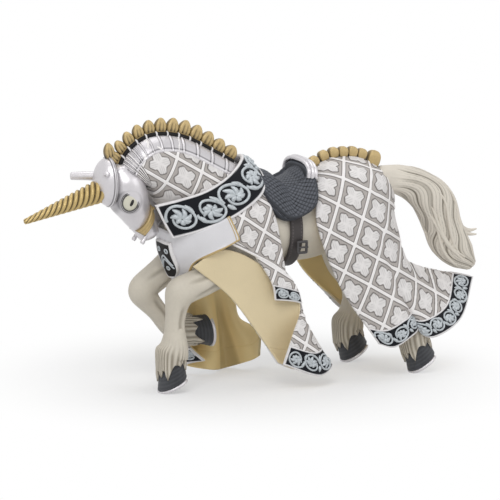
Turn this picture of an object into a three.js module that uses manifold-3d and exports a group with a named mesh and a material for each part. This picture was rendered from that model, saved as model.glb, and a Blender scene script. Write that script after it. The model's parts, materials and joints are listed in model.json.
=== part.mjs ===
// Caparisoned war horse figurine, moulded in painted vinyl from separate plug-together pieces.
// Millimetres. The horse faces -X, its near (left) side is -Y, +Z is up and the ground is z = 0.
import * as THREE from "three";
import { mergeVertices } from "three/addons/utils/BufferGeometryUtils.js";
import Module from "manifold-3d";

const wasm = await Module();
wasm.setup();

// Driving dimensions: the skeleton below is drawn at these three sizes and follows them.
const BODY_LENGTH = 89; // chest to dock
const BODY_WIDTH = 28; // across the croup
const BACK_HEIGHT = 68.5; // ground to the back under the saddle
const DRAWN = new THREE.Vector3(89, 28, 68.5);

// Fits and wall thicknesses.
const FIT = 0.3; // gap between two pieces that seat on each other
const CLOTH = 1.2; // moulded caparison cloth
const PLATE = 1.0; // moulded armour plate
const BAND = 1.2; // collar, hems and straps
const LEATHER = 1.6; // saddle flaps

// Plugs that hold the pieces together.
const PLUG_RADIUS = 2.2;
const PLUG_LENGTH = 5;
const SMALL_PLUG_RADIUS = 1.1;
const SMALL_PLUG_LENGTH = 2.6;

// Horn.
const HORN_LENGTH = 33.4;
const HORN_BASE_RADIUS = 3.9;
const HORN_TIP_RADIUS = 0.8;
const HORN_TURNS = 3;
const HORN_RIBS = 5;
const HORN_RIB_DEPTH = 0.14; // share of the local radius
const HORN_PITCH = 19; // degrees below level
const HORN_STEPS_PER_TURN = 13; // rings drawn in one turn of the ribs

// Gold crests.
const MANE_LOBES = 14;
const MANE_LOBE_HEIGHT = 4.2;
const CROUP_LOBES = 8;
const CROUP_LOBE_HEIGHT = 2.7;
const CROUP_END_SWELL = 1.6; // the last croup lobe over the others
const CREST_WIDTH = 3.4;
const STRIP_HEIGHT = 1.1;
const STRIP_WIDTH = 3.8;
const CRINET_DROP = 5.2; // how far the neck plates come down from the crest
const CREST_START_SHARE = 0.1; // share of the neck where the plates begin, at the withers
const CREST_END_SHARE = 0.985; // and where they meet the brow
const CROUP_START_SHARE = 0.015; // share of the rear cloth's ridge where the croup crest begins
const CROUP_END_SHARE = 0.9; // and where it ends over the tail

// Hooves and shoes.
const HOOF_LENGTH = 11.6; // toe to heel at the sole
const HOOF_WIDTH = 10.4;
const HOOF_HEIGHT = 7.6;
const HOOF_TAPER_RATIO = 0.8; // coronet over sole
const HOOF_LEAN_RATIO = 0.16; // how far the coronet sits back, over the sole's length
const PASTERN = 2.2; // from the coronet up to the fetlock's lower edge
const FETLOCK_DEEP = 4.3;
const FETLOCK_WIDE = 4.1;
const SHOE_THICKNESS = 0.9;
const SHOE_WEB = 2.4; // width of the iron
const TOE_FLAT = 0.55; // how deep the ground cuts each planted toe

// Face.
const EYE_RADIUS = 2.3;
const EAR_RADIUS = 1.5;
const STRAP_WIDTH = 3.4; // gold cheek strap
const BIT_SHANK_LENGTH = 5;
const BIT_SHANK_RADIUS = 0.7;

// Caparison borders.
const SKIRT_HEM_SHARE = 0.16; // share of a front skirt taken by its hem
const REAR_HEM_SHARE = 0.075; // and of a rear cloth
const FOLD_HEM_SHARE = 0.45; // and of the near front fold
const HEM_GAP_SHARE = 0.01; // share of a cloth left open above its hem
const BADGE_WIDTH = 7.5;
const BADGE_HEIGHT = 13;

// Saddle and girth.
const GIRTH_WIDTH = 4.4;
const BUCKLE_LENGTH = 7;
const BUCKLE_WIRE = 1.1;
const CANTLE_HEIGHT = 4.4;
const CANTLE_THICKNESS = 2.6;
const CANTLE_HALF = 9.6; // half its width
const CANTLE_LEAN = 8; // degrees that it leans back
const TRIM_HEIGHT = 1.5;
const TRIM_OVERHANG = 0.5; // how far the trim stands proud of the cantle's faces
const POMMEL_HEIGHT = 3.6;
const POMMEL_THICKNESS = 3;
const POMMEL_HALF = 5;
const POMMEL_LEAN = 17; // degrees that it leans forward
const SEAT_THICKNESS = 3;
const UNDER_FLAP = new THREE.Vector3(-1.2, 0, -0.4); // how far the seat's skirts show ahead of the flaps
const FLAP_TOP = 8.4; // half the width of the seat left bare between the flaps

const SIDES = { near: -1, far: 1 };
const OUTWARD = new THREE.Vector3(0, 1, 0);
const REACH = 60; // longer than the horse is wide, for cutting outlines

const paint = (color, roughness, metalness = 0) =>
  new THREE.MeshStandardMaterial({ color, roughness, metalness });
const SKIN = paint(0xcfc9bb, 0.6);
const HORN_GREY = paint(0x3c3d3d, 0.5);
const STEEL = paint(0xcfccd2, 0.35, 0.6);
const GOLD = paint(0xb08a45, 0.4, 0.7);
const QUILT = paint(0xd8d4d0, 0.6);
const LINING = paint(0xcdbe98, 0.65);
const WHITE = paint(0xe2e2e4, 0.5);
const NIGHT = paint(0x34373d, 0.5);
const HIDE = paint(0x4d5157, 0.55);
const BLACK = paint(0x1d1b1a, 0.55);

// A point of the skeleton, carried along when a driving dimension changes.
const STRETCH = new THREE.Vector3(BODY_LENGTH, BODY_WIDTH, BACK_HEIGHT).divide(DRAWN);
const place = (x, y, z) => new THREE.Vector3(x, y, z).multiply(STRETCH);
const station = (x, y, z, deep, wide, lean) => ({
  at: place(x, y, z),
  deep: deep * STRETCH.z,
  wide: wide * STRETCH.y,
  lean, // degrees that the ring's top tips forward, where given
});

// Geometry to manifold solid, turned the right way out.
function solid(geometry) {
  const bare = geometry.clone();
  bare.deleteAttribute("normal");
  bare.deleteAttribute("uv");
  const merged = mergeVertices(bare, 1e-4);
  const triVerts = new Uint32Array(merged.index.array);
  const vertProperties = merged.attributes.position.array;
  if (signedVolume(vertProperties, triVerts) < 0) triVerts.reverse();
  return new wasm.Manifold(new wasm.Mesh({ numProp: 3, vertProperties, triVerts }));
}

function signedVolume(points, triangles) {
  const [a, b, c] = [0, 0, 0].map(() => new THREE.Vector3());
  let six = 0;
  for (let i = 0; i < triangles.length; i += 3) {
    a.fromArray(points, 3 * triangles[i]);
    b.fromArray(points, 3 * triangles[i + 1]);
    c.fromArray(points, 3 * triangles[i + 2]);
    six += a.dot(b.cross(c));
  }
  return six;
}

const joined = (solids) => solids.reduce((sum, one) => sum.add(one));
const carved = (body, rooms) => rooms.reduce((left, room) => left.subtract(room), body);

// The largest body left by a cut: slivers that a cut sheds are dropped.
function main(body) {
  return body.decompose().sort((a, b) => b.volume() - a.volume())[0];
}

// A frame along a spine: centre, tangent, the axis across the horse and the upright axis.
// A spine with leans takes its rings' tilt from them instead of from its own bend.
function frameAt(spine, t) {
  const lean = spine.leans ? THREE.MathUtils.degToRad(spine.leans.getPoint(t).x) : null;
  const tangent =
    lean === null ? spine.getTangent(t) : new THREE.Vector3(-Math.cos(lean), 0, -Math.sin(lean));
  const across = OUTWARD.clone().addScaledVector(tangent, -OUTWARD.dot(tangent)).normalize();
  const upright = across.clone().cross(tangent);
  return { at: spine.getPoint(t), tangent, across, upright };
}

function spineOf(stations) {
  const spine = new THREE.CatmullRomCurve3(stations.map((s) => s.at), false, "centripetal");
  if (stations[0].lean !== undefined)
    spine.leans = new THREE.CatmullRomCurve3(
      stations.map((s) => new THREE.Vector3(s.lean, 0, 0)),
      false,
      "catmullrom",
    );
  return spine;
}
const girthOf = (stations) =>
  new THREE.CatmullRomCurve3(
    stations.map((s) => new THREE.Vector3(s.deep, s.wide, 0)),
    false,
    "catmullrom",
  );

// A skin over rings of points, closed at both ends by a fan to one point.
function skin(rings, first, last) {
  const sides = rings[0].length;
  const points = [...rings.flat(), first, last];
  const at = (i, j) => i * sides + (j % sides);
  const index = [];
  for (let j = 0; j < sides; j++) {
    index.push(points.length - 2, at(0, j + 1), at(0, j));
    index.push(points.length - 1, at(rings.length - 1, j), at(rings.length - 1, j + 1));
    for (let i = 0; i + 1 < rings.length; i++) {
      index.push(at(i, j), at(i, j + 1), at(i + 1, j));
      index.push(at(i, j + 1), at(i + 1, j + 1), at(i + 1, j));
    }
  }
  return new THREE.BufferGeometry().setFromPoints(points).setIndex(index);
}

// A rounded limb over stations along a smooth spine. Grow swells it all over, ends included.
const CAP_STEPS = [75, 45];
function limb(stations, { grow = 0, sides = 14, perSpan = 2, round = 0.55 } = {}) {
  const spine = spineOf(stations);
  const girth = girthOf(stations);
  const steps = (stations.length - 1) * perSpan;
  const ringAt = (t, ahead, share) => {
    const { at, tangent, across, upright } = frameAt(spine, t);
    const size = girth.getPoint(t);
    return Array.from({ length: sides }, (_, j) => {
      const angle = (2 * Math.PI * j) / sides;
      return at
        .clone()
        .addScaledVector(tangent, ahead)
        .addScaledVector(upright, (size.x + grow) * share * Math.cos(angle))
        .addScaledVector(across, (size.y + grow) * share * Math.sin(angle));
    });
  };
  const capLength = (t) => {
    const size = girth.getPoint(t);
    return round * Math.min(size.x, size.y) + grow;
  };
  const capRings = (t, way) =>
    CAP_STEPS.map((degrees) => {
      const angle = THREE.MathUtils.degToRad(degrees);
      return ringAt(t, way * capLength(t) * Math.sin(angle), Math.cos(angle));
    });
  const rings = Array.from({ length: steps + 1 }, (_, i) => ringAt(i / steps, 0, 1));
  const tip = (t, way) => {
    const { at, tangent } = frameAt(spine, t);
    return at.addScaledVector(tangent, way * capLength(t));
  };
  const all = [...capRings(0, -1), ...rings, ...capRings(1, 1).reverse()];
  return solid(skin(all, tip(0, -1), tip(1, 1)));
}

// A smooth surface through a net of points: rows run along the cloth, columns down it.
function netPoint(net, u, v) {
  const down = net.map((row) => new THREE.CatmullRomCurve3(row, false, "catmullrom").getPoint(u));
  return new THREE.CatmullRomCurve3(down, false, "catmullrom").getPoint(v);
}

// A moulded sheet of even thickness on a net, between two heights of the net.
const NUDGE = 0.004;
function sheet(net, thickness, { from = 0, to = 1, across = 10, down = 7, grow = 0, lift = 0 } = {}) {
  const at = (u, v) => netPoint(net, THREE.MathUtils.clamp(u, 0, 1), THREE.MathUtils.clamp(v, 0, 1));
  const faceAt = (u, v, side) => {
    const alongU = at(u + NUDGE, v).sub(at(u - NUDGE, v));
    const alongV = at(u, v + NUDGE).sub(at(u, v - NUDGE));
    const normal = alongU.clone().cross(alongV).normalize();
    const aside = u === 0 ? -grow : u === 1 ? grow : 0;
    const below = v === from ? -grow : v === to ? grow : 0;
    return at(u, v)
      .addScaledVector(normal, lift + side * (thickness / 2 + grow))
      .addScaledVector(alongU.normalize(), aside)
      .addScaledVector(alongV.normalize(), below);
  };
  const stride = across + 1;
  const points = [];
  for (const side of [1, -1])
    for (let i = 0; i <= down; i++)
      for (let j = 0; j <= across; j++)
        points.push(faceAt(j / across, i === down ? to : from + ((to - from) * i) / down, side));
  const back = stride * (down + 1);
  const id = (side, i, j) => side * back + i * stride + j;
  const index = [];
  const quad = (a, b, c, d) => index.push(a, b, c, a, c, d);
  for (let i = 0; i < down; i++)
    for (let j = 0; j < across; j++) {
      quad(id(0, i, j), id(0, i, j + 1), id(0, i + 1, j + 1), id(0, i + 1, j));
      quad(id(1, i, j), id(1, i + 1, j), id(1, i + 1, j + 1), id(1, i, j + 1));
    }
  for (let j = 0; j < across; j++) {
    quad(id(0, 0, j), id(1, 0, j), id(1, 0, j + 1), id(0, 0, j + 1));
    quad(id(0, down, j), id(0, down, j + 1), id(1, down, j + 1), id(1, down, j));
  }
  for (let i = 0; i < down; i++) {
    quad(id(0, i, 0), id(0, i + 1, 0), id(1, i + 1, 0), id(1, i, 0));
    quad(id(0, i, across), id(1, i, across), id(1, i + 1, across), id(0, i + 1, across));
  }
  return solid(new THREE.BufferGeometry().setFromPoints(points).setIndex(index));
}

// An outline in the XZ plane, cut straight through the horse between two Y values.
function through(outline, low = -REACH, high = REACH) {
  const shape = new THREE.Shape(outline.map((p) => new THREE.Vector2(p.x, p.z)));
  const cut = new THREE.ExtrudeGeometry(shape, { depth: high - low, bevelEnabled: false });
  return solid(cut.rotateX(Math.PI / 2).translate(0, high, 0));
}

// A smooth closed or open run of points in the XZ plane.
const smooth = (points, steps, closed = false) =>
  new THREE.CatmullRomCurve3(points, closed, "catmullrom").getPoints(steps);

// A straight round rod between two points.
const ROD_SIDES = 8;
function rod(from, to, radius, tipRadius = radius) {
  const along = to.clone().sub(from);
  const turn = new THREE.Quaternion().setFromUnitVectors(OUTWARD, along.clone().normalize());
  const shape = new THREE.CylinderGeometry(tipRadius, radius, along.length(), ROD_SIDES);
  const middle = from.clone().add(to).divideScalar(2);
  return solid(shape.applyQuaternion(turn).translate(middle.x, middle.y, middle.z));
}

// A plug along a direction, starting a little inside its own piece, and the socket that takes it.
function plugged(seat, direction, radius = PLUG_RADIUS, length = PLUG_LENGTH) {
  const way = direction.clone().normalize();
  const root = seat.clone().addScaledVector(way, -length);
  const grown = FIT + 0.05;
  return {
    plug: rod(root, seat.clone().addScaledVector(way, length), radius),
    socket: rod(root, seat.clone().addScaledVector(way, length + grown), radius + grown),
  };
}

function ball(centre, radii, sides = 12) {
  const round = new THREE.SphereGeometry(1, sides, (2 * sides) / 3).scale(radii.x, radii.y, radii.z);
  return solid(round.translate(centre.x, centre.y, centre.z));
}

const figure = new THREE.Group();
function add(name, body, material) {
  const { vertProperties, triVerts } = main(body).getMesh();
  const geometry = new THREE.BufferGeometry();
  geometry.setAttribute("position", new THREE.BufferAttribute(vertProperties, 3));
  geometry.setIndex(new THREE.BufferAttribute(triVerts, 1));
  geometry.computeVertexNormals();
  const mesh = new THREE.Mesh(geometry, material.clone());
  mesh.name = name;
  figure.add(mesh);
}

// Trunk, neck and head.
const TRUNK = [
  station(-28, 0, 53, 10, 8),
  station(-20, 0, 55.5, 16.5, 12),
  station(-8, 0, 58, 18.5, 14),
  station(8, 0, 55, 13.5, 13.6),
  station(19, 0, 56.2, 14.2, 13.6),
  station(29, 0, 59.6, 15.8, 13.8),
  station(39, 0, 60.4, 15.4, 14),
  station(46, 0, 59.6, 12.6, 11.6),
  station(49.5, 0, 59.4, 9.6, 8),
];
const NECK = [
  station(-9, 0, 60, 16, 10.5, -38),
  station(-22, 0, 70.4, 13.4, 9.4, -36),
  station(-33, 0, 78.6, 11, 8.2, -19),
  station(-40.5, 0, 81, 8.8, 7.4, 4),
  station(-45, 0, 79.6, 6.6, 6.6, 32),
  station(-47, 0, 77.4, 5, 5.4, 56),
];
const HEAD = [
  station(-52.5, 0, 80, 4.4, 5.2),
  station(-51, 0, 76.5, 6.6, 7.2),
  station(-48.5, 0, 69.5, 7.4, 7.8),
  station(-45.5, 0, 64, 5.4, 6.2),
  station(-43, 0, 60, 4.4, 5),
  station(-41.5, 0, 56.8, 3.9, 4.8),
];
const trunkForm = (grow) => limb(TRUNK, { grow, sides: 14 });
const neckForm = (grow) => limb(NECK, { grow, sides: 12, perSpan: 2 });
const headForm = (grow) => limb(HEAD, { grow, sides: 12 });

// Height of the trunk's top, and its half width at a height, for what lies on it.
const trunkSpine = spineOf(TRUNK);
const trunkGirth = girthOf(TRUNK);
function trunkAt(x) {
  let low = 0;
  let high = 1;
  for (let i = 0; i < 30; i++) {
    const middle = (low + high) / 2;
    if (trunkSpine.getPoint(middle).x < x) low = middle;
    else high = middle;
  }
  const size = trunkGirth.getPoint(low);
  return { z: trunkSpine.getPoint(low).z, deep: size.x, wide: size.y };
}
const backZ = (x) => trunkAt(x).z + trunkAt(x).deep;

// The line along the crest of the neck, a given height above the skin.
const neckSpine = spineOf(NECK);
const neckGirth = girthOf(NECK);
function neckCrest(t, above) {
  const { at, upright } = frameAt(neckSpine, t);
  return at.addScaledVector(upright, neckGirth.getPoint(t).x + above);
}

// Hooves: each has its own frame, with the sole at its origin, the toe along -X and the leg along +Z.
const soleOutline = (scale, steps = 20) =>
  Array.from({ length: steps }, (_, i) => {
    const angle = (2 * Math.PI * i) / steps;
    return new THREE.Vector2(
      (HOOF_LENGTH / 2) * scale * Math.cos(angle),
      (HOOF_WIDTH / 2) * scale * Math.sin(angle),
    );
  });
function plantedFrame(x, y, pitchDegrees) {
  const pitch = THREE.MathUtils.degToRad(pitchDegrees);
  const toe = (HOOF_LENGTH / 2) * Math.sin(pitch);
  const iron = (SHOE_THICKNESS + FIT) * Math.cos(pitch);
  return hoofFrame(place(x, y, 0).setZ(toe + iron - TOE_FLAT), pitch);
}
function hoofFrame(sole, pitch) {
  return new THREE.Matrix4().makeRotationY(-pitch).setPosition(sole);
}
function hoofForm(frame) {
  const rings = [0, 0.35, 0.7, 1].map((share) => {
    const scale = THREE.MathUtils.lerp(1, HOOF_TAPER_RATIO, share);
    const lean = HOOF_LEAN_RATIO * HOOF_LENGTH * share;
    return soleOutline(scale).map((p) =>
      new THREE.Vector3(p.x + lean, p.y, HOOF_HEIGHT * share).applyMatrix4(frame),
    );
  });
  const centre = (share) =>
    new THREE.Vector3(HOOF_LEAN_RATIO * HOOF_LENGTH * share, 0, HOOF_HEIGHT * share).applyMatrix4(frame);
  return solid(skin(rings, centre(0), centre(1)));
}
function shoeForm(frame) {
  const open = 0.62; // half angle of the heel opening, in radians
  const arc = (scaleX, scaleY, from, to) =>
    Array.from({ length: 15 }, (_, i) => {
      const angle = from + ((to - from) * i) / 14;
      return new THREE.Vector2(scaleX * Math.cos(angle), scaleY * Math.sin(angle));
    });
  const outer = arc(HOOF_LENGTH / 2, HOOF_WIDTH / 2, open, 2 * Math.PI - open);
  const inner = arc(HOOF_LENGTH / 2 - SHOE_WEB, HOOF_WIDTH / 2 - SHOE_WEB, 2 * Math.PI - open, open);
  const iron = new THREE.ExtrudeGeometry(new THREE.Shape([...outer, ...inner]), {
    depth: SHOE_THICKNESS,
    bevelEnabled: false,
  });
  return solid(iron.translate(0, 0, -SHOE_THICKNESS - FIT).applyMatrix4(frame));
}

// Legs: stations from inside the trunk down to the hoof's coronet.
const coronet = (frame, above) =>
  new THREE.Vector3(HOOF_LEAN_RATIO * HOOF_LENGTH, 0, HOOF_HEIGHT + above).applyMatrix4(frame);
const HOOVES = {
  near_fore: plantedFrame(-35.5, -9.5, 20),
  far_fore: hoofFrame(place(-12.5, 7.5, 16.5), THREE.MathUtils.degToRad(96)),
  near_hind: plantedFrame(60.5, -14, 34),
  far_hind: plantedFrame(47, 14, 34),
};
const LEGS = {
  near_fore: [
    station(-7, -7.5, 54, 9, 5.6),
    station(-12, -8.6, 46, 7.6, 5.4),
    station(-22.5, -9.3, 39.6, 5.6, 4.8),
    station(-33, -9.5, 34.8, 5, 4.3),
    station(-35.4, -9.5, 26, 3.8, 3.5),
    station(-35.4, -9.5, 17.5, 4.2, 4),
  ],
  far_fore: [
    station(-10, 7.5, 55, 9, 5.6),
    station(-19, 8.6, 47.5, 7, 5.4),
    station(-30, 9.2, 40.5, 5.5, 4.8),
    station(-39.5, 9.4, 33.5, 4.7, 4.2),
    station(-33.5, 9, 25, 3.6, 3.3),
    station(-26, 8.2, 18.5, 4.1, 3.9),
  ],
  near_hind: [
    station(39, -7, 58, 8.4, 6),
    station(37, -8.4, 47, 8, 5.8),
    station(45, -10.2, 37, 6, 5),
    station(53.5, -12.2, 29.5, 4.6, 4.1),
    station(56.8, -13.2, 20, 3.8, 3.4),
  ],
  far_hind: [
    station(36, 7, 58, 8.4, 6),
    station(31, 8.4, 47, 8, 5.8),
    station(37, 10.4, 37.5, 6, 5),
    station(45.5, 12.2, 29.5, 4.6, 4.1),
    station(46, 13.2, 20, 3.8, 3.4),
  ],
};
const legStations = (name) => [
  ...LEGS[name],
  { at: coronet(HOOVES[name], PASTERN), deep: FETLOCK_DEEP, wide: FETLOCK_WIDE },
];
const legForm = (name, grow) => limb(legStations(name), { grow, sides: 10, perSpan: 2, round: 0.3 });

// Tail.
const TAIL = [
  station(50.5, 0, 68.8, 4.6, 3.6),
  station(58, 0, 67.8, 5.2, 4.4),
  station(65.5, 0, 64.5, 6.2, 5),
  station(72, 0, 58.5, 7.2, 5.4),
  station(75.5, 0, 50.5, 6.6, 5),
  station(78.5, 0, 43.8, 6, 4.6),
  station(83.5, 0, 38.2, 4.2, 3.4),
  station(86.8, 0, 34.6, 1.8, 1.6),
];
const tailForm = (grow) => limb(TAIL, { grow, sides: 14, perSpan: 2 });

// Cloth nets. Each row runs from the front of the horse to the back, rows go from top to hem.
const net = (side, rows) => rows.map((row) => row.map(([x, y, z]) => place(x, side * y, z)));
// The rear cloth is drawn in columns, each from the ridge of the back down to the hem.
const REAR_FRONT = {
  near: [
    [[22, 0.5, 73.6], [20.4, 10.4, 68.6], [18.6, 15.6, 56], [26.4, 18.4, 34], [40, 21.6, 13]],
    [[30, 0.5, 77.4], [29, 11.6, 71], [28.5, 16.8, 57], [35.5, 20.4, 34], [46, 22.6, 11.6]],
  ],
  far: [
    [[22, 0.5, 73.6], [20.4, 10.4, 68.6], [18.6, 15.6, 56], [30, 18.4, 36], [45, 20.6, 20]],
    [[30, 0.5, 77.4], [29, 11.6, 71], [28.5, 16.8, 57], [37.5, 20.4, 35], [50, 22.4, 15.4]],
  ],
};
const REAR_BACK = [
  [[38, 0.5, 77.6], [37, 12.2, 71.4], [38, 17.2, 57], [43.6, 19.6, 35.4], [53.5, 22.2, 15.4]],
  [[44, 0.5, 76], [43.5, 11.6, 70], [45.4, 15.6, 56], [51, 17, 35], [62, 21, 13.4]],
  [[48.6, 0.5, 73.4], [49.6, 7.6, 67.6], [51.6, 9.4, 54.4], [58, 11, 35.4], [76, 14.4, 18]],
  [[51.6, 0.5, 71], [55.4, 0.5, 63], [56, 0.5, 52], [61.5, 0.5, 37.4], [87.6, 0.5, 29.6]],
];
function rearNet(name) {
  const columns = [...REAR_FRONT[name], ...REAR_BACK];
  return net(SIDES[name], columns[0].map((_, row) => columns.map((column) => column[row])));
}
const PANEL_NET = [
  [[-20, 13.2, 64], [-12, 12.8, 67.6], [-6, 12, 70], [-1.4, 11.2, 70.6]],
  [[-19, 14.4, 60], [-10, 15.6, 61.4], [-3, 15.4, 62], [2.2, 14.8, 61.6]],
  [[-17, 15.4, 56], [-9, 16.2, 54.4], [-1, 16.2, 52], [4.4, 15.8, 50]],
  [[-15.5, 15.8, 52.8], [-7, 16.6, 48.2], [0, 17, 44], [5.6, 17, 40]],
];
const FOLD_NET = [
  [[-2.4, 17.6, 43.4], [2, 17.9, 41.4], [6.4, 17.9, 39]],
  [[-1, 18.3, 38.6], [4, 18.9, 37], [9.4, 18.6, 35]],
  [[0.4, 18.5, 31.8], [5.4, 19.4, 31.2], [11, 18.8, 29.8]],
];
const NEAR_SKIRT_NET = [
  [[-25, 13.4, 46], [-16, 15, 48.4], [-7, 15.2, 45.4], [1, 15.2, 40.6], [5, 15.4, 37.6], [8.4, 16, 35]],
  [
    [-15.5, 15.4, 33.5], [-9.5, 15.4, 34.4], [-2, 15.4, 33.4],
    [5, 15.8, 32.4], [9.8, 17, 30.4], [10.6, 18.4, 28.4],
  ],
  [[-5, 17.4, 19], [1, 16.6, 19], [8, 16.8, 18.6], [14, 19.4, 18.2], [11.6, 23.2, 18.6], [5, 24.2, 20.6]],
  [[4, 19.4, 5.4], [10, 17.6, 5.2], [17, 17.8, 5.8], [21.4, 21, 6.4], [14.5, 25, 4.2], [0.5, 25, 9.6]],
];
const FAR_SKIRT_NET = [
  [[-26, 13.6, 46], [-20, 15, 47.4], [-13, 15.4, 47], [-5, 15.4, 43.6]],
  [[-22, 15.4, 31], [-14, 17.4, 31], [-6, 16.4, 31], [1, 17.8, 28.6]],
  [[-20, 16, 16], [-11, 19.4, 15], [-2, 16.4, 15], [7, 18.6, 15]],
  [[-18, 15, 6.4], [-8, 20, 0.3], [3, 16, 0.1], [12.4, 19, 6]],
];
const COLLAR_HALF = [
  [[-4.6, 0, 81.4], [-12.5, 9, 77], [-23, 11.8, 72.4], [-33, 11.4, 70], [-42, 9, 68]],
  [[-1.2, 0, 78.8], [-6.6, 11.4, 73.4], [-17, 14, 67.4], [-29, 13.2, 63.6], [-39, 9.6, 61.6]],
  [[2, 0, 75.6], [-1.2, 13, 70.2], [-13, 15.9, 63], [-26, 14.6, 58.4], [-35.5, 9.8, 55.6]],
];
const BIB_HALF = [
  [[-37.6, 0, 57.4], [-35.6, 7, 57], [-29, 13.6, 58], [-21, 15.8, 61], [-16.6, 16.6, 63.2]],
  [[-36.4, 0, 50], [-34, 7.6, 50], [-28, 13.8, 53.6], [-20, 16.6, 56.4], [-14.6, 17.4, 58.6]],
  [[-33, 0, 43], [-30.5, 6.4, 44.4], [-27, 12.8, 50], [-20, 16.8, 53], [-13.6, 17.8, 56.2]],
  [[-30, 0, 37], [-27.6, 4.6, 40], [-27.2, 11, 46.6], [-21.4, 16.6, 50.8], [-13.2, 17.8, 54.8]],
];
// A half net drawn from the middle outwards, unfolded to both sides.
function unfolded(half) {
  return half.map((row) => {
    const [middle, ...rest] = row;
    const near = rest.map(([x, y, z]) => place(x, -y, z)).reverse();
    return [...near, place(...middle), ...rest.map((p) => place(...p))];
  });
}
const hangs = (share) => ({ from: 0, to: 1 - share });
const edges = (share) => ({ from: 1 - share + HEM_GAP_SHARE, to: 1, down: 2 });

// Pieces lying on the neck and head.
const crinetOutline = (inset, lift) => {
  const share = (i) => THREE.MathUtils.lerp(CREST_START_SHARE, CREST_END_SHARE, i / 14);
  const spots = Array.from({ length: 15 }, (_, i) => share(i));
  const top = spots.map((t) => neckCrest(t, lift));
  const bottom = spots.map((t) => neckCrest(t, -inset)).reverse();
  return [...top, ...bottom];
};
const shell = (form, inner, outer) => form(outer).subtract(form(inner));
const crinet = (grow) =>
  shell(neckForm, FIT - grow, FIT + PLATE + grow).intersect(
    through(crinetOutline(CRINET_DROP + grow, REACH / 10)),
  );

// A scalloped gold crest standing on a line, and the plain strip under it.
function scallops(line, count, height, foot, swell) {
  const perLobe = 5;
  const top = [];
  for (let i = 0; i < count; i++)
    for (let j = 0; j < perLobe; j++) {
      const t = (i + j / perLobe) / count;
      const arch = 0.4 + 0.6 * Math.sqrt(Math.sin((Math.PI * j) / perLobe));
      top.push(line(t, foot + height * arch * swell(t)));
    }
  const base = Array.from({ length: 2 * count + 1 }, (_, i) => line(1 - i / (2 * count), foot));
  return [...top, ...base];
}
const maneLine = (t, above) =>
  neckCrest(THREE.MathUtils.lerp(CREST_START_SHARE + 0.03, CREST_END_SHARE, t), above);
const maneSwell = (t) => 0.62 + 0.38 * Math.sin(Math.PI * Math.min(1, t + 0.1));
// The croup crest stands on the ridge of the rear cloth, and its last lobe is the largest.
const ridgeNet = rearNet("near");
const croupLine = (t, above) => {
  const share = THREE.MathUtils.lerp(CROUP_START_SHARE, CROUP_END_SHARE, t);
  const at = netPoint(ridgeNet, share, 0);
  return new THREE.Vector3(at.x, 0, at.z + above);
};
const croupSwell = (t) => (t < 1 - 1 / CROUP_LOBES ? 1 : CROUP_END_SWELL);
const stripFoot = FIT + PLATE + FIT;
const maneFoot = stripFoot + STRIP_HEIGHT + FIT;
const croupFoot = CLOTH / 2 + FIT;
const stripOutline = () => {
  const spots = Array.from({ length: 13 }, (_, i) => i / 12);
  const top = spots.map((t) => maneLine(t, stripFoot + STRIP_HEIGHT));
  return [...top, ...spots.map((t) => maneLine(t, stripFoot)).reverse()];
};

// Head furniture.
const headSpine = spineOf(HEAD);
const headGirth = girthOf(HEAD);
const brow = place(-55.6, 0, 77);
const browForm = (grow) =>
  ball(brow, new THREE.Vector3(6.8 + grow, 7.2 + grow, 8.8 + grow)).intersect(
    through(
      [
        new THREE.Vector3(brow.x - REACH, 0, brow.z + REACH),
        new THREE.Vector3(brow.x + 1.2 + grow, 0, brow.z + REACH),
        new THREE.Vector3(brow.x + 1.2 + grow, 0, brow.z - REACH),
        new THREE.Vector3(brow.x - REACH, 0, brow.z - REACH),
      ].reverse(),
    ),
  );
const hornWay = new THREE.Vector3(-1, 0, 0).applyAxisAngle(
  OUTWARD,
  -THREE.MathUtils.degToRad(HORN_PITCH),
);
const hornRoot = brow.clone().add(new THREE.Vector3(-1.4, 0, -2));
function hornForm(grow) {
  const steps = Math.round(HORN_STEPS_PER_TURN * HORN_TURNS);
  const sides = 2 * HORN_RIBS;
  const turn = new THREE.Quaternion().setFromUnitVectors(new THREE.Vector3(0, 0, 1), hornWay);
  const rings = Array.from({ length: steps + 1 }, (_, i) => {
    const share = i / steps;
    const radius = THREE.MathUtils.lerp(HORN_BASE_RADIUS, HORN_TIP_RADIUS, share) + grow;
    return Array.from({ length: sides }, (_, j) => {
      const angle = 2 * Math.PI * (j / sides - HORN_TURNS * share);
      const reach = radius * (j % 2 === 0 ? 1 : 1 - HORN_RIB_DEPTH);
      return new THREE.Vector3(reach * Math.cos(angle), reach * Math.sin(angle), HORN_LENGTH * share)
        .applyQuaternion(turn)
        .add(hornRoot);
    });
  });
  const tip = hornRoot.clone().addScaledVector(hornWay, HORN_LENGTH + HORN_TIP_RADIUS / 2);
  return solid(skin(rings, hornRoot.clone(), tip));
}
// The ears splay outwards; the head is cocked, so the near one stands higher.
const EARS = {
  near: { root: place(-58, -4, 80), tip: place(-63.2, -8.6, 81.4) },
  far: { root: place(-58.5, 4, 77.6), tip: place(-65.7, 10, 77) },
};
const earForm = (name, grow) => {
  const { root, tip } = EARS[name];
  const ring = (share, size) => ({
    at: root.clone().lerp(tip, share),
    deep: EAR_RADIUS * size,
    wide: EAR_RADIUS * size,
  });
  return limb([ring(0, 0.9), ring(0.5, 1), ring(1, 0.75)], { grow, sides: 8 });
};
const eyeSpot = (side) => {
  const { at, upright, across } = frameAt(headSpine, 0.44);
  const wide = headGirth.getPoint(0.44).y;
  return at.addScaledVector(upright, 2.6).addScaledVector(across, side * (wide - 0.5));
};
const eyeForm = (side, grow) =>
  ball(eyeSpot(side), new THREE.Vector3(EYE_RADIUS + grow, 1.5 + grow, EYE_RADIUS + grow), 9);

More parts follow.
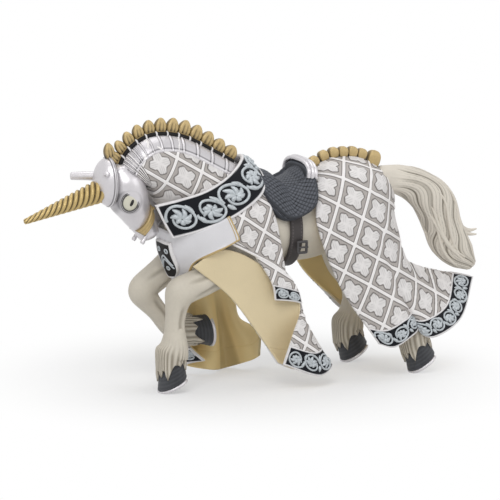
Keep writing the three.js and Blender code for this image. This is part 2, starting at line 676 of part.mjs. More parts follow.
// The gold cheek strap lies on the side of the muzzle, from the jaw down to the chin.
const strapLine = [place(-39, 0, 66.4), place(-42, 0, 61.4), place(-46.4, 0, 56.4)];
const strapOutline = (grow) => {
  const across = strapLine[2].clone().sub(strapLine[0]).cross(OUTWARD).normalize();
  const half = STRAP_WIDTH / 2 + grow;
  const run = smooth(strapLine, 8);
  const side = (way) => run.map((p) => p.clone().addScaledVector(across, way * half));
  return [...side(1), ...side(-1).reverse()];
};
const cheekStrap = (side, grow) =>
  shell(headForm, FIT, FIT + PLATE + grow).intersect(
    through(strapOutline(grow), side < 0 ? -REACH : 0.4, side < 0 ? -0.4 : REACH),
  );
const bitShank = (side) => {
  const top = place(-42, side * 3.6, 57.5);
  const way = new THREE.Vector3(-0.55, 0, -0.85).normalize();
  return rod(top, top.clone().addScaledVector(way, BIT_SHANK_LENGTH), BIT_SHANK_RADIUS);
};

// Saddle, seated on the back between the front panels and the rear cloth.
const seatFront = place(3.4, 0, 0).x;
const seatBack = place(20.5, 0, 0).x;
const boxOutline = (x0, x1, z0, z1) => [
  new THREE.Vector3(x0, 0, z0),
  new THREE.Vector3(x1, 0, z0),
  new THREE.Vector3(x1, 0, z1),
  new THREE.Vector3(x0, 0, z1),
];
const saddleFoot = FIT;
const seatFloor = backZ((seatFront + seatBack) / 2) - 6 * STRETCH.z;
const flapOutline = (grow) => {
  const rim = smooth(
    [
      place(-1.6, 0, 72),
      place(2.4, 0, 65.4),
      place(7, 0, 61),
      place(12.4, 0, 61.2),
      place(18, 0, 65),
      place(20, 0, 72),
    ],
    20,
    false,
  );
  const centre = place(9.5, 0, 69);
  const swell = (p) => p.clone().addScaledVector(p.clone().sub(centre).normalize(), grow);
  return [...rim.map(swell), swell(place(20, 0, 80)), swell(place(-1.6, 0, 80))];
};
// The seat's skirts show as a narrow second layer ahead of the flaps.
const seatForm = (grow) =>
  shell(trunkForm, saddleFoot - grow, saddleFoot + SEAT_THICKNESS + grow).intersect(
    through(flapOutline(grow - 0.6).map((p) => p.clone().add(UNDER_FLAP))),
  );
const flapTop = FLAP_TOP * STRETCH.y;
const flapLift = saddleFoot + SEAT_THICKNESS + FIT;
const flapForm = (side, grow) =>
  shell(trunkForm, flapLift - grow, flapLift + LEATHER + grow).intersect(
    through(flapOutline(grow), side < 0 ? -REACH : flapTop - grow, side < 0 ? -flapTop + grow : REACH),
  );
// The cantle is an upright arched wall across the seat's back edge, leaning backwards.
const cantleFoot = new THREE.Vector3(seatBack - 1.6, 0, backZ(seatBack) + 2);
const cantleLean = THREE.MathUtils.degToRad(CANTLE_LEAN);
function archWall(foot, height, halfWidth, thickness, lean, grow = 0) {
  const shape = new THREE.Shape();
  shape.moveTo(-halfWidth - grow, -6 - grow);
  shape.lineTo(-halfWidth - grow, 0);
  shape.absellipse(0, 0, halfWidth + grow, height + grow, Math.PI, 0, true);
  shape.lineTo(halfWidth + grow, -6 - grow);
  const wall = new THREE.ExtrudeGeometry(shape, {
    depth: thickness + 2 * grow,
    bevelEnabled: false,
    curveSegments: 10,
  });
  wall.translate(0, 0, -thickness / 2 - grow);
  wall.rotateX(Math.PI / 2).rotateZ(Math.PI / 2).rotateY(lean);
  return solid(wall.translate(foot.x, foot.y, foot.z));
}
const cantleForm = (grow) =>
  archWall(cantleFoot, CANTLE_HEIGHT, CANTLE_HALF * STRETCH.y, CANTLE_THICKNESS, cantleLean, grow);
const trimForm = (grow = 0) => {
  const half = CANTLE_HALF * STRETCH.y + FIT + TRIM_HEIGHT;
  const tall = CANTLE_HEIGHT + FIT + TRIM_HEIGHT;
  const cap = archWall(cantleFoot, tall, half, CANTLE_THICKNESS + 2 * TRIM_OVERHANG, cantleLean, grow);
  const { x, z } = cantleFoot;
  return cap.intersect(through(boxOutline(x - REACH, x + REACH, z + 0.4, z + REACH)));
};
const pommelFoot = new THREE.Vector3(seatFront + 1.4, 0, backZ(seatFront) + 0.6);
const pommelLean = -THREE.MathUtils.degToRad(POMMEL_LEAN);
const pommelForm = (grow) =>
  archWall(pommelFoot, POMMEL_HEIGHT, POMMEL_HALF * STRETCH.y, POMMEL_THICKNESS, pommelLean, grow);

// The girth runs right round the barrel under the flaps.
const girthX = place(11, 0, 0).x;
const girthHalf = GIRTH_WIDTH / 2;
const girthForm = (grow) =>
  shell(trunkForm, FIT - grow, FIT + BAND + grow).intersect(
    through(boxOutline(girthX - girthHalf - grow, girthX + girthHalf + grow, 0, seatFloor - FIT)),
  );
function buckleForm(side) {
  const z = place(0, 0, 49.5).z;
  const { wide } = trunkAt(girthX);
  const half = girthHalf + 1;
  const frame = new THREE.Shape([
    new THREE.Vector2(-half, -BUCKLE_LENGTH / 2),
    new THREE.Vector2(half, -BUCKLE_LENGTH / 2),
    new THREE.Vector2(half, BUCKLE_LENGTH / 2),
    new THREE.Vector2(-half, BUCKLE_LENGTH / 2),
  ]);
  const inner = [
    new THREE.Vector2(-half + BUCKLE_WIRE, -BUCKLE_LENGTH / 2 + BUCKLE_WIRE),
    new THREE.Vector2(-half + BUCKLE_WIRE, BUCKLE_LENGTH / 2 - BUCKLE_WIRE),
    new THREE.Vector2(half - BUCKLE_WIRE, BUCKLE_LENGTH / 2 - BUCKLE_WIRE),
    new THREE.Vector2(half - BUCKLE_WIRE, -BUCKLE_LENGTH / 2 + BUCKLE_WIRE),
  ];
  frame.holes.push(new THREE.Path(inner));
  const ring = new THREE.ExtrudeGeometry(frame, { depth: BUCKLE_WIRE, bevelEnabled: false });
  const out = side * (wide + FIT + BAND + FIT) - (side < 0 ? 0 : -BUCKLE_WIRE);
  return solid(ring.rotateX(Math.PI / 2).translate(girthX, out, z));
}

// The badge is a plain shield on the front of the bib.
function badgeForm() {
  const shield = new THREE.Shape();
  shield.moveTo(-BADGE_WIDTH / 2, BADGE_HEIGHT / 2);
  shield.lineTo(BADGE_WIDTH / 2, BADGE_HEIGHT / 2);
  shield.lineTo(BADGE_WIDTH / 2, 0);
  shield.quadraticCurveTo(BADGE_WIDTH / 2, -BADGE_HEIGHT / 3, 0, -BADGE_HEIGHT / 2);
  shield.quadraticCurveTo(-BADGE_WIDTH / 2, -BADGE_HEIGHT / 3, -BADGE_WIDTH / 2, 0);
  const slab = new THREE.ExtrudeGeometry(shield, { depth: REACH / 4, bevelEnabled: false, curveSegments: 8 });
  slab.rotateX(Math.PI / 2).rotateZ(Math.PI / 2);
  const at = place(-34, 0, 47.5);
  return solid(slab.translate(at.x - REACH / 8, at.y, at.z)).intersect(
    sheet(unfolded(BIB_HALF), PLATE, { across: 12, down: 5, lift: CLOTH / 2 + FIT + PLATE / 2 }),
  );
}

// Ground plane: planted pieces are cut flat on it.
const underground = through(boxOutline(-2 * REACH, 2 * REACH, -REACH, 0));

// Rooms: swollen copies that later pieces are cut back from.
const rooms = {
  trunk: trunkForm(FIT),
  neck: neckForm(FIT),
  head: headForm(FIT),
};
for (const name of Object.keys(LEGS)) rooms[name] = legForm(name, FIT);
const bodyRooms = Object.values(rooms);

// Plugs and sockets of the neck, the legs and the tail, each along its own limb.
const plugs = {
  neck: plugged(place(-13, 0, 63), place(9, 0, -8)),
  near_fore: plugged(place(-9, -10, 50), place(2, 9, 6)),
  far_fore: plugged(place(-13, 10, 52), place(4, -9, 5)),
  near_hind: plugged(place(41, -11, 55), place(0, 9, 4)),
  far_hind: plugged(place(36, 11, 55), place(2, -9, 4)),
  tail: plugged(place(51.5, 0, 66), place(-6, 0, -5), SMALL_PLUG_RADIUS * 1.5, PLUG_LENGTH * 0.8),
};
add("trunk", carved(trunkForm(0), Object.values(plugs).map((p) => p.socket)), SKIN);

const neckBody = neckForm(0).subtract(rooms.trunk).add(plugs.neck.plug);
const headPlug = plugged(place(-47, 0, 76), place(-6, 0, -2));
add("neck", main(neckBody).subtract(headPlug.socket), SKIN);
const headPin = headPlug.plug.subtract(rooms.neck.subtract(headPlug.socket));
const headBody = headForm(0).subtract(rooms.neck).add(headPin);
const hornBack = hornWay.clone().negate();
const hornPlug = plugged(hornRoot, hornBack, SMALL_PLUG_RADIUS * 1.4, SMALL_PLUG_LENGTH * 1.5);
const eyes = Object.fromEntries(Object.entries(SIDES).map(([n, s]) => [n, eyeForm(s, FIT)]));
add("head", carved(headBody, [...Object.values(eyes), hornPlug.socket]), STEEL);

const browBody = carved(browForm(0), [rooms.head, rooms.neck, hornForm(FIT), hornPlug.socket]);
add("brow_plate", browBody, STEEL);
const browRoom = browForm(FIT);
add("horn", hornForm(0).subtract(rooms.head).add(hornPlug.plug), GOLD);
for (const [name, side] of Object.entries(SIDES)) {
  add(`${name}_ear_cup`, carved(earForm(name, 0), [browRoom, rooms.head, hornForm(FIT)]), STEEL);
  add(`${name}_eye`, carved(eyeForm(side, 0), [headForm(-0.6)]), WHITE);
  add(`${name}_cheek_strap`, carved(cheekStrap(side, 0), [neckForm(FIT + CLOTH + FIT), eyes[name]]), GOLD);
  add(`${name}_bit_shank`, carved(bitShank(side), [headForm(FIT), cheekStrap(side, FIT)]), STEEL);
}

// Armour and cloth on the neck.
const collarNet = unfolded(COLLAR_HALF);
const collarRoom = sheet(collarNet, BAND, { across: 18, down: 3, grow: FIT });
add("crinet", carved(crinet(0), [rooms.head, browRoom, rooms.trunk, collarRoom]), STEEL);
const strip = through(stripOutline(), -STRIP_WIDTH / 2, STRIP_WIDTH / 2);
add("mane_strip", carved(strip, [browRoom, rooms.head, collarRoom, neckForm(FIT + PLATE + FIT)]), BLACK);
const crestWall = (outline) => through(outline, -CREST_WIDTH / 2, CREST_WIDTH / 2);
const mane = crestWall(scallops(maneLine, MANE_LOBES, MANE_LOBE_HEIGHT, maneFoot, maneSwell));
const stripRoom = through(stripOutline(), -STRIP_WIDTH, STRIP_WIDTH);
add("mane_crest", carved(mane, [browRoom, rooms.head, collarRoom, stripRoom]), GOLD);
const neckClothOutline = smooth(
  [place(-12, 0, 92), place(-12, 0, 66), place(-30, 0, 60), place(-44, 0, 66), place(-56, 0, 80)],
  20,
);
const neckCloth = shell(neckForm, FIT, FIT + CLOTH).intersect(
  through([...neckClothOutline, place(-56, 0, 100), place(-12, 0, 100)]),
);
const crinetRoom = through(crinetOutline(CRINET_DROP + FIT, REACH / 10));
add("neck_cloth", carved(neckCloth, [crinetRoom, rooms.head, browRoom, rooms.trunk, collarRoom]), QUILT);

// Collar and bib.
const panelRoomOf = (side) => sheet(net(side, PANEL_NET), CLOTH, { grow: FIT });
const frontPanels = Object.values(SIDES).map(panelRoomOf);
const collarBody = sheet(collarNet, BAND, { across: 18, down: 3 });
add("collar_band", carved(collarBody, [neckForm(FIT), rooms.trunk, ...frontPanels]), NIGHT);
const bibBody = sheet(unfolded(BIB_HALF), CLOTH, { across: 12, down: 5 });
const bibRoom = sheet(unfolded(BIB_HALF), CLOTH, { across: 12, down: 5, grow: FIT });
// The bib stops short of the collar all the way through its own thickness.
const collarReach = sheet(collarNet, BAND + 4 * CLOTH, { across: 18, down: 3, grow: FIT });
add("breast_bib", carved(bibBody, [...bodyRooms, collarReach, ...frontPanels]), WHITE);
add("breast_badge", carved(badgeForm(), [bibRoom, collarRoom]), BLACK);

// Front and rear caparison on both sides.
const girthRoom = girthForm(FIT);
const flapRooms = Object.values(SIDES).map((side) => flapForm(side, FIT));
const saddleRooms = [seatForm(FIT), cantleForm(FIT), ...flapRooms];
const tailRoom = tailForm(FIT);
for (const [name, side] of Object.entries(SIDES)) {
  const panelNet = net(side, PANEL_NET);
  const clear = [...bodyRooms, girthRoom, ...saddleRooms];
  add(`${name}_front_panel`, carved(sheet(panelNet, CLOTH), clear), QUILT);
  const skirtNet = net(side, side < 0 ? NEAR_SKIRT_NET : FAR_SKIRT_NET);
  const under = [...bodyRooms, panelRoomOf(side), bibRoom, underground, girthRoom];
  add(`${name}_front_skirt`, carved(sheet(skirtNet, CLOTH, hangs(SKIRT_HEM_SHARE)), under), LINING);
  add(`${name}_front_skirt_hem`, carved(sheet(skirtNet, BAND, edges(SKIRT_HEM_SHARE)), under), NIGHT);
  if (name === "near") {
    const foldNet = net(side, FOLD_NET);
    const outside = [...under, sheet(skirtNet, CLOTH, { grow: FIT })];
    const small = { across: 6, down: 3 };
    const fold = sheet(foldNet, CLOTH, { ...hangs(FOLD_HEM_SHARE), ...small });
    const foldHem = sheet(foldNet, BAND, { ...edges(FOLD_HEM_SHARE), ...small });
    add("near_front_fold", carved(fold, outside), QUILT);
    add("near_front_fold_hem", carved(foldHem, outside), NIGHT);
  }
  const around = [...bodyRooms, ...saddleRooms, girthRoom, tailRoom];
  const rearSheet = sheet(rearNet(name), CLOTH, { ...hangs(REAR_HEM_SHARE), across: 12, down: 8 });
  const rearHem = sheet(rearNet(name), BAND, { ...edges(REAR_HEM_SHARE), across: 12 });
  add(`${name}_rear_cloth`, carved(rearSheet, around), QUILT);
  add(`${name}_rear_hem`, carved(rearHem, around), NIGHT);
}
const croup = crestWall(scallops(croupLine, CROUP_LOBES, CROUP_LOBE_HEIGHT, croupFoot, croupSwell));
const rearRoomOf = (name) => sheet(rearNet(name), CLOTH, { grow: FIT, across: 12, down: 8 });
const rearRooms = Object.keys(SIDES).map(rearRoomOf);
add("croup_crest", carved(croup, [...saddleRooms, ...rearRooms, rooms.trunk, tailRoom, trimForm(FIT)]), GOLD);
add("tail", tailForm(0).subtract(rooms.trunk).add(plugs.tail.plug).subtract(joined(rearRooms)), SKIN);

// Saddle and girth.
add("saddle_seat", carved(seatForm(0), [cantleForm(FIT), pommelForm(FIT), collarRoom, ...rearRooms]), HIDE);
add("saddle_cantle", carved(cantleForm(0), [rooms.trunk, ...rearRooms, ...flapRooms]), HIDE);
add("cantle_trim", carved(trimForm(), [cantleForm(FIT), seatForm(FIT), ...rearRooms, ...flapRooms]), STEEL);
add("saddle_pommel", carved(pommelForm(0), [rooms.trunk, collarRoom]), HIDE);
for (const [name, side] of Object.entries(SIDES)) {
  const beside = [seatForm(FIT), panelRoomOf(side), rearRoomOf(name), collarRoom];
  add(`${name}_saddle_flap`, carved(flapForm(side, 0), beside), HIDE);
  add(`${name}_girth_buckle`, buckleForm(side), HIDE);
}
add("girth_strap", carved(girthForm(0), [...flapRooms, seatForm(FIT)]), HIDE);

// Legs, hooves and shoes.
for (const name of Object.keys(LEGS)) {
  const frame = HOOVES[name];
  const hoofPlug = plugged(
    coronet(frame, 0),
    coronet(frame, 1).sub(coronet(frame, 0)),
    SMALL_PLUG_RADIUS,
    SMALL_PLUG_LENGTH,
  );
  const coronetCut = hoofForm(frame.clone().scale(new THREE.Vector3(1.6, 1.6, 1)));
  const above = new THREE.Matrix4().makeTranslation(0, 0, FIT);
  const hoofRoom = coronetCut.add(hoofForm(frame.clone().multiply(above)));
  const leg = legForm(name, 0).subtract(rooms.trunk).add(plugs[name].plug);
  add(`${name}_leg`, carved(leg, [hoofRoom, hoofPlug.socket, rooms.neck, underground]), SKIN);
  add(`${name}_hoof`, hoofForm(frame).add(hoofPlug.plug).subtract(underground), HORN_GREY);
  add(`${name}_shoe`, shoeForm(frame).subtract(underground), STEEL);
}

// The origin is the middle of the footprint, on the ground.
const extent = new THREE.Box3().setFromObject(figure, true);
const middle = extent.getCenter(new THREE.Vector3());
figure.position.set(-middle.x, -middle.y, -extent.min.z);

export default figure;
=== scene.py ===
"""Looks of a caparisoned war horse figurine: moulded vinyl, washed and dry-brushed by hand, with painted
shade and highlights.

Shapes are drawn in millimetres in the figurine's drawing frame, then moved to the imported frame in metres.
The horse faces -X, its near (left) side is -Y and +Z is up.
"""
import json
import logging
import math
from dataclasses import dataclass, replace
from enum import Enum
from typing import Any, Callable, Sequence

import bpy
import numpy as np
from bpy.types import ColorRamp, Material, Mesh, Node, NodeSocket, NodeTree, Object
from mathutils import Matrix, Vector


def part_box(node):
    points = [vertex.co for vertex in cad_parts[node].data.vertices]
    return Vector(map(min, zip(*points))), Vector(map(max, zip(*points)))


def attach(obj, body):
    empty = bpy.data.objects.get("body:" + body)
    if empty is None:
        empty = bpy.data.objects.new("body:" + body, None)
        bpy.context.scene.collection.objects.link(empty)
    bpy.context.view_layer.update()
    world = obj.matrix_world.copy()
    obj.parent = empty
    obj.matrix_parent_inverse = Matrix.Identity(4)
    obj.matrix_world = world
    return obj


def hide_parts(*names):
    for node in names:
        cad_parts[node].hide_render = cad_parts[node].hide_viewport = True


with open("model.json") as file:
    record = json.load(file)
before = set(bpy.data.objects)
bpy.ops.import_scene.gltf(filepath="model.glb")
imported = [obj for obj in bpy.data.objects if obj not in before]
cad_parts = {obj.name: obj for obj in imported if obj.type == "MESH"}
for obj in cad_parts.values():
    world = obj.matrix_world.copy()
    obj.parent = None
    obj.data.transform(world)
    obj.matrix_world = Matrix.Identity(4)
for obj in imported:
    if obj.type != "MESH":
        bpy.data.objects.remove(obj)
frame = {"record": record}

Array = np.ndarray
Values = Array | float
Colour = tuple[int, int, int]  # 0 to 255, as on a paint chart
Place = tuple[float, float, float]
Span = tuple[float, float]
Painted = tuple[Array, Array]  # height and paint of a surface
Relief = Callable[..., Painted]

MM = 0.001
FULL_TURN = 2 * math.pi
SIDEWAYS = np.array([0.0, 1.0, 0.0])
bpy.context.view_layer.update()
log = logging.getLogger("war_horse")


class Side(Enum):
    """The two sides of the horse, by the sign of Y."""

    NEAR = -1
    FAR = 1

    @property
    def label(self) -> str:
        """The side's word in piece names."""
        return self.name.lower()


def linear(colour: Colour) -> list[float]:
    """A chart colour as opaque scene-linear light."""
    shares = np.array([*colour, 255]) / 255
    return np.where(shares <= 0.04045, shares / 12.92, ((shares + 0.055) / 1.055) ** 2.4).tolist()


def ease(low: float, high: float, value: Array) -> Array:
    """Smooth step from 0 at low to 1 at high, either way round."""
    share = np.clip((value - low) / (high - low), 0, 1)
    return share * share * (3 - 2 * share)


def ridge(value: Array, middle: float, width: float) -> Array:
    """A soft ridge of height 1 where a value passes its middle."""
    return np.exp(-(((value - middle) / width) ** 2))


def unit(vectors: Array) -> Array:
    """Vectors scaled to length 1 along the last axis."""
    return vectors / np.maximum(np.linalg.norm(vectors, axis=-1, keepdims=True), 1e-12)


def even(count: int) -> Array:
    """Even shares from 0 to 1."""
    return np.linspace(0, 1, count)


def around(count: int) -> Array:
    """Even angles once round."""
    return np.linspace(0, FULL_TURN, count, endpoint=False)


def grid(*parts: Values) -> Array:
    """Points from their coordinates, spread to one shape."""
    return np.stack(np.broadcast_arrays(*parts), axis=-1)


def tipped(x: Values, y: Values, z: Values, pitch: float) -> Array:
    """Points turned about Y by an angle in degrees, +X towards +Z."""
    c, s = math.cos(math.radians(pitch)), math.sin(math.radians(pitch))
    return grid(c * x - s * z, y, s * x + c * z)


class Shade:
    """One output socket whose Python operators add Math nodes."""

    def __init__(self, bench: "NodeBench", socket: NodeSocket) -> None:
        """Wrap a socket of a bench's tree."""
        self.bench = bench
        self.socket = socket

    def _math(self, operation: str, first: Any, second: Any) -> "Shade":
        """Add a Math node on two values."""
        return self.bench.shade("ShaderNodeMath", {0: first, 1: second}, operation=operation)

    def __add__(self, other: Any) -> "Shade":
        """self + other"""
        return self._math("ADD", self, other)

    def __sub__(self, other: Any) -> "Shade":
        """self - other"""
        return self._math("SUBTRACT", self, other)

    def __rsub__(self, other: Any) -> "Shade":
        """other - self"""
        return self._math("SUBTRACT", other, self)

    def __mul__(self, other: Any) -> "Shade":
        """self * other"""
        return self._math("MULTIPLY", self, other)

    __radd__ = __add__
    __rmul__ = __mul__

    def capped(self) -> "Shade":
        """The value, at most 1."""
        return self._math("MINIMUM", self, 1.0)


class NodeBench:
    """One node tree and the single way that nodes are added to it."""

    def __init__(self, tree: NodeTree) -> None:
        """Start on an empty tree."""
        self.tree = tree
        tree.nodes.clear()

    def add(self, kind: str, inputs: dict[Any, Any] | None = None, **settings: Any) -> Node:
        """Add any node.

        Args:
            kind: the node's type name.
            inputs: socket name or index to a value, a Shade or a socket to link.
            settings: properties, which are set first; stops fill a colour ramp.

        Returns:
            The node.
        """
        node = self.tree.nodes.new(kind)
        for name, value in settings.items():
            if name == "stops":
                self._fill_ramp(node.color_ramp, value)
            else:
                setattr(node, name, value)
        for key, value in (inputs or {}).items():
            value = value.socket if isinstance(value, Shade) else value
            if isinstance(value, NodeSocket):
                self.tree.links.new(value, node.inputs[key])
            else:
                node.inputs[key].default_value = value
        return node

    def shade(self, kind: str, inputs: dict[Any, Any] | None = None, output: int | str = 0,
              **settings: Any) -> Shade:
        """Add any node and wrap one of its outputs."""
        return Shade(self, self.add(kind, inputs, **settings).outputs[output])

    @staticmethod
    def _fill_ramp(ramp: ColorRamp, stops: Sequence[tuple[float, Colour]]) -> None:
        """Give a colour ramp its stops.

        Args:
            ramp: the ramp of a new node.
            stops: places from 0 to 1 and their colours.
        """
        while len(ramp.elements) < len(stops):
            ramp.elements.new(1.0)
        for element, (place, colour) in zip(ramp.elements, stops):
            element.position = place
            element.color = linear(colour)


@dataclass(frozen=True)
class Finish:
    """A hand-painted finish: a dark colour in the hollows, partly washed-in paint and partly painted shade,
    a top colour on what stands proud.
    """

    name: str
    slot: str
    hollow: Colour
    top: Colour
    foot: Colour | None = None  # a dark line at the foot of raised work: painted shade
    roughness: float = 0.5
    metallic: float = 0.0
    coat: float = 0.0
    shine: float = 0.5  # strength of the plain reflection
    mottle: float = 0.12  # how far the paint's lightness wanders
    mottle_size: float = 5.0  # millimetres, as the grain
    grain: float = 0.25  # strength of the brush marks
    grain_size: float = 0.5
    stretch: Place = (1, 1, 1)  # brush direction

    ROUGH_SPREAD = 0.16  # how far the roughness wanders
    GRAIN_DEPTH = 0.15
    COAT_ROUGHNESS = 0.35

    def stops(self) -> list[tuple[float, Colour]]:
        """The ramp from hollow to top.

        Returns:
            Places on the ramp and their colours.
        """
        if self.foot is None:
            return [(0.0, self.hollow), (0.75, self.top)]
        colours = (self.hollow, self.hollow, self.foot, self.foot, self.top)
        return list(zip((0.0, 0.06, 0.28, 0.42, 0.7), colours))

    @staticmethod
    def _noise(place: Shade, size: float, detail: float, roughness: float) -> Shade:
        """Noise of a size in millimetres."""
        inputs = {"Vector": place, "Scale": 1 / (size * MM), "Detail": detail, "Roughness": roughness}
        return place.bench.shade("ShaderNodeTexNoise", inputs)

    def material(self) -> Material:
        """The finish as a material, made once.

        Returns:
            The material.
        """
        found = bpy.data.materials.get(self.name)
        if found:
            return found
        material = bpy.data.materials.new(self.name)
        material.use_nodes = True
        bench = NodeBench(material.node_tree)
        place = bench.shade("ShaderNodeTexCoord", output="Object")
        brushed = bench.shade("ShaderNodeMapping", {"Vector": place, "Scale": self.stretch})
        blotch = self._noise(brushed, self.mottle_size, 4.0, 0.6)
        fine = self._noise(brushed, self.grain_size, 3.0, 0.55)
        raised = bench.shade("ShaderNodeAttribute", output="Fac", attribute_name="raised")
        ramp = bench.shade("ShaderNodeValToRGB", {"Fac": raised}, stops=self.stops())
        light = 1 + (blotch - 0.5) * (2 * self.mottle) + (fine - 0.5) * self.mottle
        tone = bench.shade(
            "ShaderNodeMix", {0: 1.0, 6: ramp, 7: light}, 2, data_type="RGBA", blend_type="MULTIPLY"
        )
        rough = (self.roughness - self.ROUGH_SPREAD / 2) + self.ROUGH_SPREAD * blotch
        depth = self.GRAIN_DEPTH * MM
        bump = bench.shade("ShaderNodeBump", {"Strength": self.grain, "Distance": depth, "Height": fine})
        shader = bench.shade("ShaderNodeBsdfPrincipled", {
            "Base Color": tone, "Roughness": rough, "Normal": bump, "Metallic": self.metallic,
            "Coat Weight": self.coat, "Coat Roughness": self.COAT_ROUGHNESS,
            "Specular IOR Level": self.shine,
        })
        bench.add("ShaderNodeOutputMaterial", {"Surface": shader})
        return material


COAT_PAINT = Finish(
    "coat_paint", "skin", (112, 102, 84), (202, 195, 181), roughness=0.55, mottle=0.1, grain=0.3,
    grain_size=0.9
)
HAIR_PAINT = Finish("hair_paint", "skin", (98, 90, 76), (216, 209, 197), roughness=0.58, mottle=0.08)
HOOF_PAINT = Finish(
    "hoof_paint", "hoof_horn", (40, 41, 44), (84, 86, 90), shine=0.25, mottle=0.22, mottle_size=3,
    stretch=(1, 1, 0.3)
)
SILVER_PAINT = Finish(
    "silver_paint", "silver", (66, 64, 68), (212, 209, 212), roughness=0.33, metallic=0.5, mottle=0.08,
    grain=0.2
)
GOLD_PAINT = Finish(
    "gold_paint", "gold", (44, 32, 14), (190, 166, 116), roughness=0.45, metallic=0.2, mottle=0.22,
    mottle_size=1.6, grain=0.4
)
HORN_PAINT = Finish(
    "horn_paint", "gold", (46, 33, 10), (194, 169, 112), roughness=0.38, metallic=0.35, mottle=0.18,
    mottle_size=1.4, grain=0.3
)
# The quilt's foot colour is a dark line along the foot of its cords and leaves: painted shade.
QUILT_PAINT = Finish(
    "quilt_paint", "quilted_cloth", (174, 168, 164), (238, 235, 234), foot=(92, 87, 84), roughness=0.6,
    mottle=0.1, mottle_size=2.5, grain=0.4
)
LINING_PAINT = Finish(
    "lining_paint", "cloth_lining", (150, 132, 92), (216, 200, 164), roughness=0.65, mottle=0.07,
    mottle_size=9, grain=0.3, grain_size=0.35
)
# A lighter, warmer copy of the lining paint for linings that stand in the shade: painted bounce light.
BOUNCE_LIT_LINING_PAINT = replace(LINING_PAINT, name="shade_lining_paint", top=(240, 216, 158))
WHITE_PAINT = Finish(
    "white_paint", "white_enamel", (150, 148, 150), (216, 215, 218), roughness=0.42, coat=0.1, mottle=0.05,
    mottle_size=8, grain=0.15
)
BORDER_PAINT = Finish(
    "border_paint", "dark_border", (20, 22, 27), (228, 226, 227), shine=0.12, mottle=0.14, mottle_size=2
)
SCROLL_PAINT = Finish(
    "scroll_paint", "silver", (84, 89, 94), (184, 190, 194), roughness=0.42, metallic=0.2, mottle=0.34,
    mottle_size=1.2
)
LEATHER_PAINT = Finish(
    "leather_paint", "saddle_leather", (16, 18, 22), (92, 95, 102), roughness=0.6, shine=0.2, mottle=0.16,
    mottle_size=3, grain=0.4, grain_size=0.4
)
GIRTH_PAINT = replace(
    LEATHER_PAINT, name="girth_paint", hollow=(40, 37, 38), top=(98, 93, 92), roughness=0.55, mottle=0.14
)
BLACK_PAINT = Finish("strip_paint", "black_paint", (24, 22, 22), (228, 226, 226), shine=0.15)
BLACK_LINE = Finish("black_line", "black_paint", (24, 23, 24), (38, 36, 37), roughness=0.4, shine=0.2)
IRON_PAINT = Finish("iron_paint", "saddle_leather", (30, 29, 30), (62, 60, 61), roughness=0.45)
LID_PAINT = Finish("lid_paint", "silver", (60, 58, 60), (72, 70, 70), roughness=0.45)
EYE_PAINT = Finish(
    "eye_paint", "white_enamel", (40, 38, 36), (206, 203, 186), roughness=0.3, coat=0.4, mottle=0.05,
    grain=0.05
)


def cubic(start: Array, stop: Array, out: Array, into: Array, share: Array) -> Array:
    """The cubic from start to stop with the slopes out and into."""
    bend = -3 * start + 3 * stop - 2 * out - into
    return start + out * share + bend * share**2 + (2 * start - 2 * stop + out + into) * share**3


def spans(points: Array, shares: Array) -> tuple[list[Array], Array]:
    """Find the spans of a run.

    Args:
        points: what the run passes.
        shares: shares of the run.

    Returns:
        The four control points around each share, and its share within the span.
    """
    count = len(points) - 1
    place = np.clip(shares, 0, 1) * count
    start = np.minimum(place.astype(int), count - 1)
    padded = np.concatenate([2 * points[:1] - points[1:2], points, 2 * points[-1:] - points[-2:-1]])
    within = (place - start).reshape(-1, *([1] * (points.ndim - 1)))
    return [padded[start + i] for i in range(4)], within


def smooth_run(points: Array, shares: Array) -> Array:
    """An even Catmull-Rom run through points, along the first axis."""
    corners, within = spans(points, shares)
    return cubic(*corners[1:3], 0.5 * (corners[2] - corners[0]), 0.5 * (corners[3] - corners[1]), within)


def spine_run(points: Array, shares: Array) -> Array:
    """A centripetal Catmull-Rom run, for spines with uneven steps.

    Args:
        points: what the run passes.
        shares: shares of the run.

    Returns:
        A point for each share.
    """
    corners, within = spans(points, shares)
    steps = np.diff(corners, axis=0)
    gaps = np.sqrt(np.linalg.norm(steps, axis=-1, keepdims=True))
    slopes = []
    for i in range(2):
        both = (steps[i] + steps[i + 1]) / (gaps[i] + gaps[i + 1])
        slopes.append((steps[i] / gaps[i] - both + steps[i + 1] / gaps[i + 1]) * gaps[1])
    return cubic(*corners[1:3], *slopes, within)


@dataclass
class Shape:
    """A closed mesh. Raised is 1 on top paint and 0 in the hollows; wear picks a face's finish."""

    points: Array
    quads: Array
    fans: Array
    raised: Array
    wear: Array

    @classmethod
    def closed(cls, points: Array, quads: Array, fans: Array, raised: Array, wear: Array) -> "Shape":
        """Drop unused points and turn the faces outwards.

        Args:
            points: corner places, one row each.
            quads: faces of four corners.
            fans: faces of three corners.
            raised: paint height of each point.
            wear: finish number of each face, quads first.

        Returns:
            The shape.
        """
        triangles = np.concatenate([quads[:, [0, 1, 2]], quads[:, [0, 2, 3]], fans])
        a, b, c = (points[triangles[:, i]] - points[0] for i in range(3))
        if np.einsum("ij,ij->", a, np.cross(b, c)) < 0:
            quads, fans = quads[:, ::-1], fans[:, ::-1]
        used, place = np.unique(np.concatenate([quads.ravel(), fans.ravel()]), return_inverse=True)
        quads = place[:quads.size].reshape(quads.shape)
        fans = place[quads.size:].reshape(fans.shape)
        return cls(points[used], quads, fans, raised[used], wear)

    def mesh(self, name: str) -> Mesh:
        """The shape as a Blender mesh with its raised attribute.

        Args:
            name: the mesh's name.

        Returns:
            The mesh.
        """
        mesh = bpy.data.meshes.new(name)
        faces = self.quads.tolist() + self.fans.tolist()
        mesh.from_pydata(self.points.tolist(), [], faces, shade_flat=False)
        mesh.polygons.foreach_set("material_index", self.wear.astype(np.int32))
        raised = mesh.attributes.new("raised", "FLOAT", "POINT")
        raised.data.foreach_set("value", self.raised.astype(np.float32))
        mesh.validate()
        return mesh


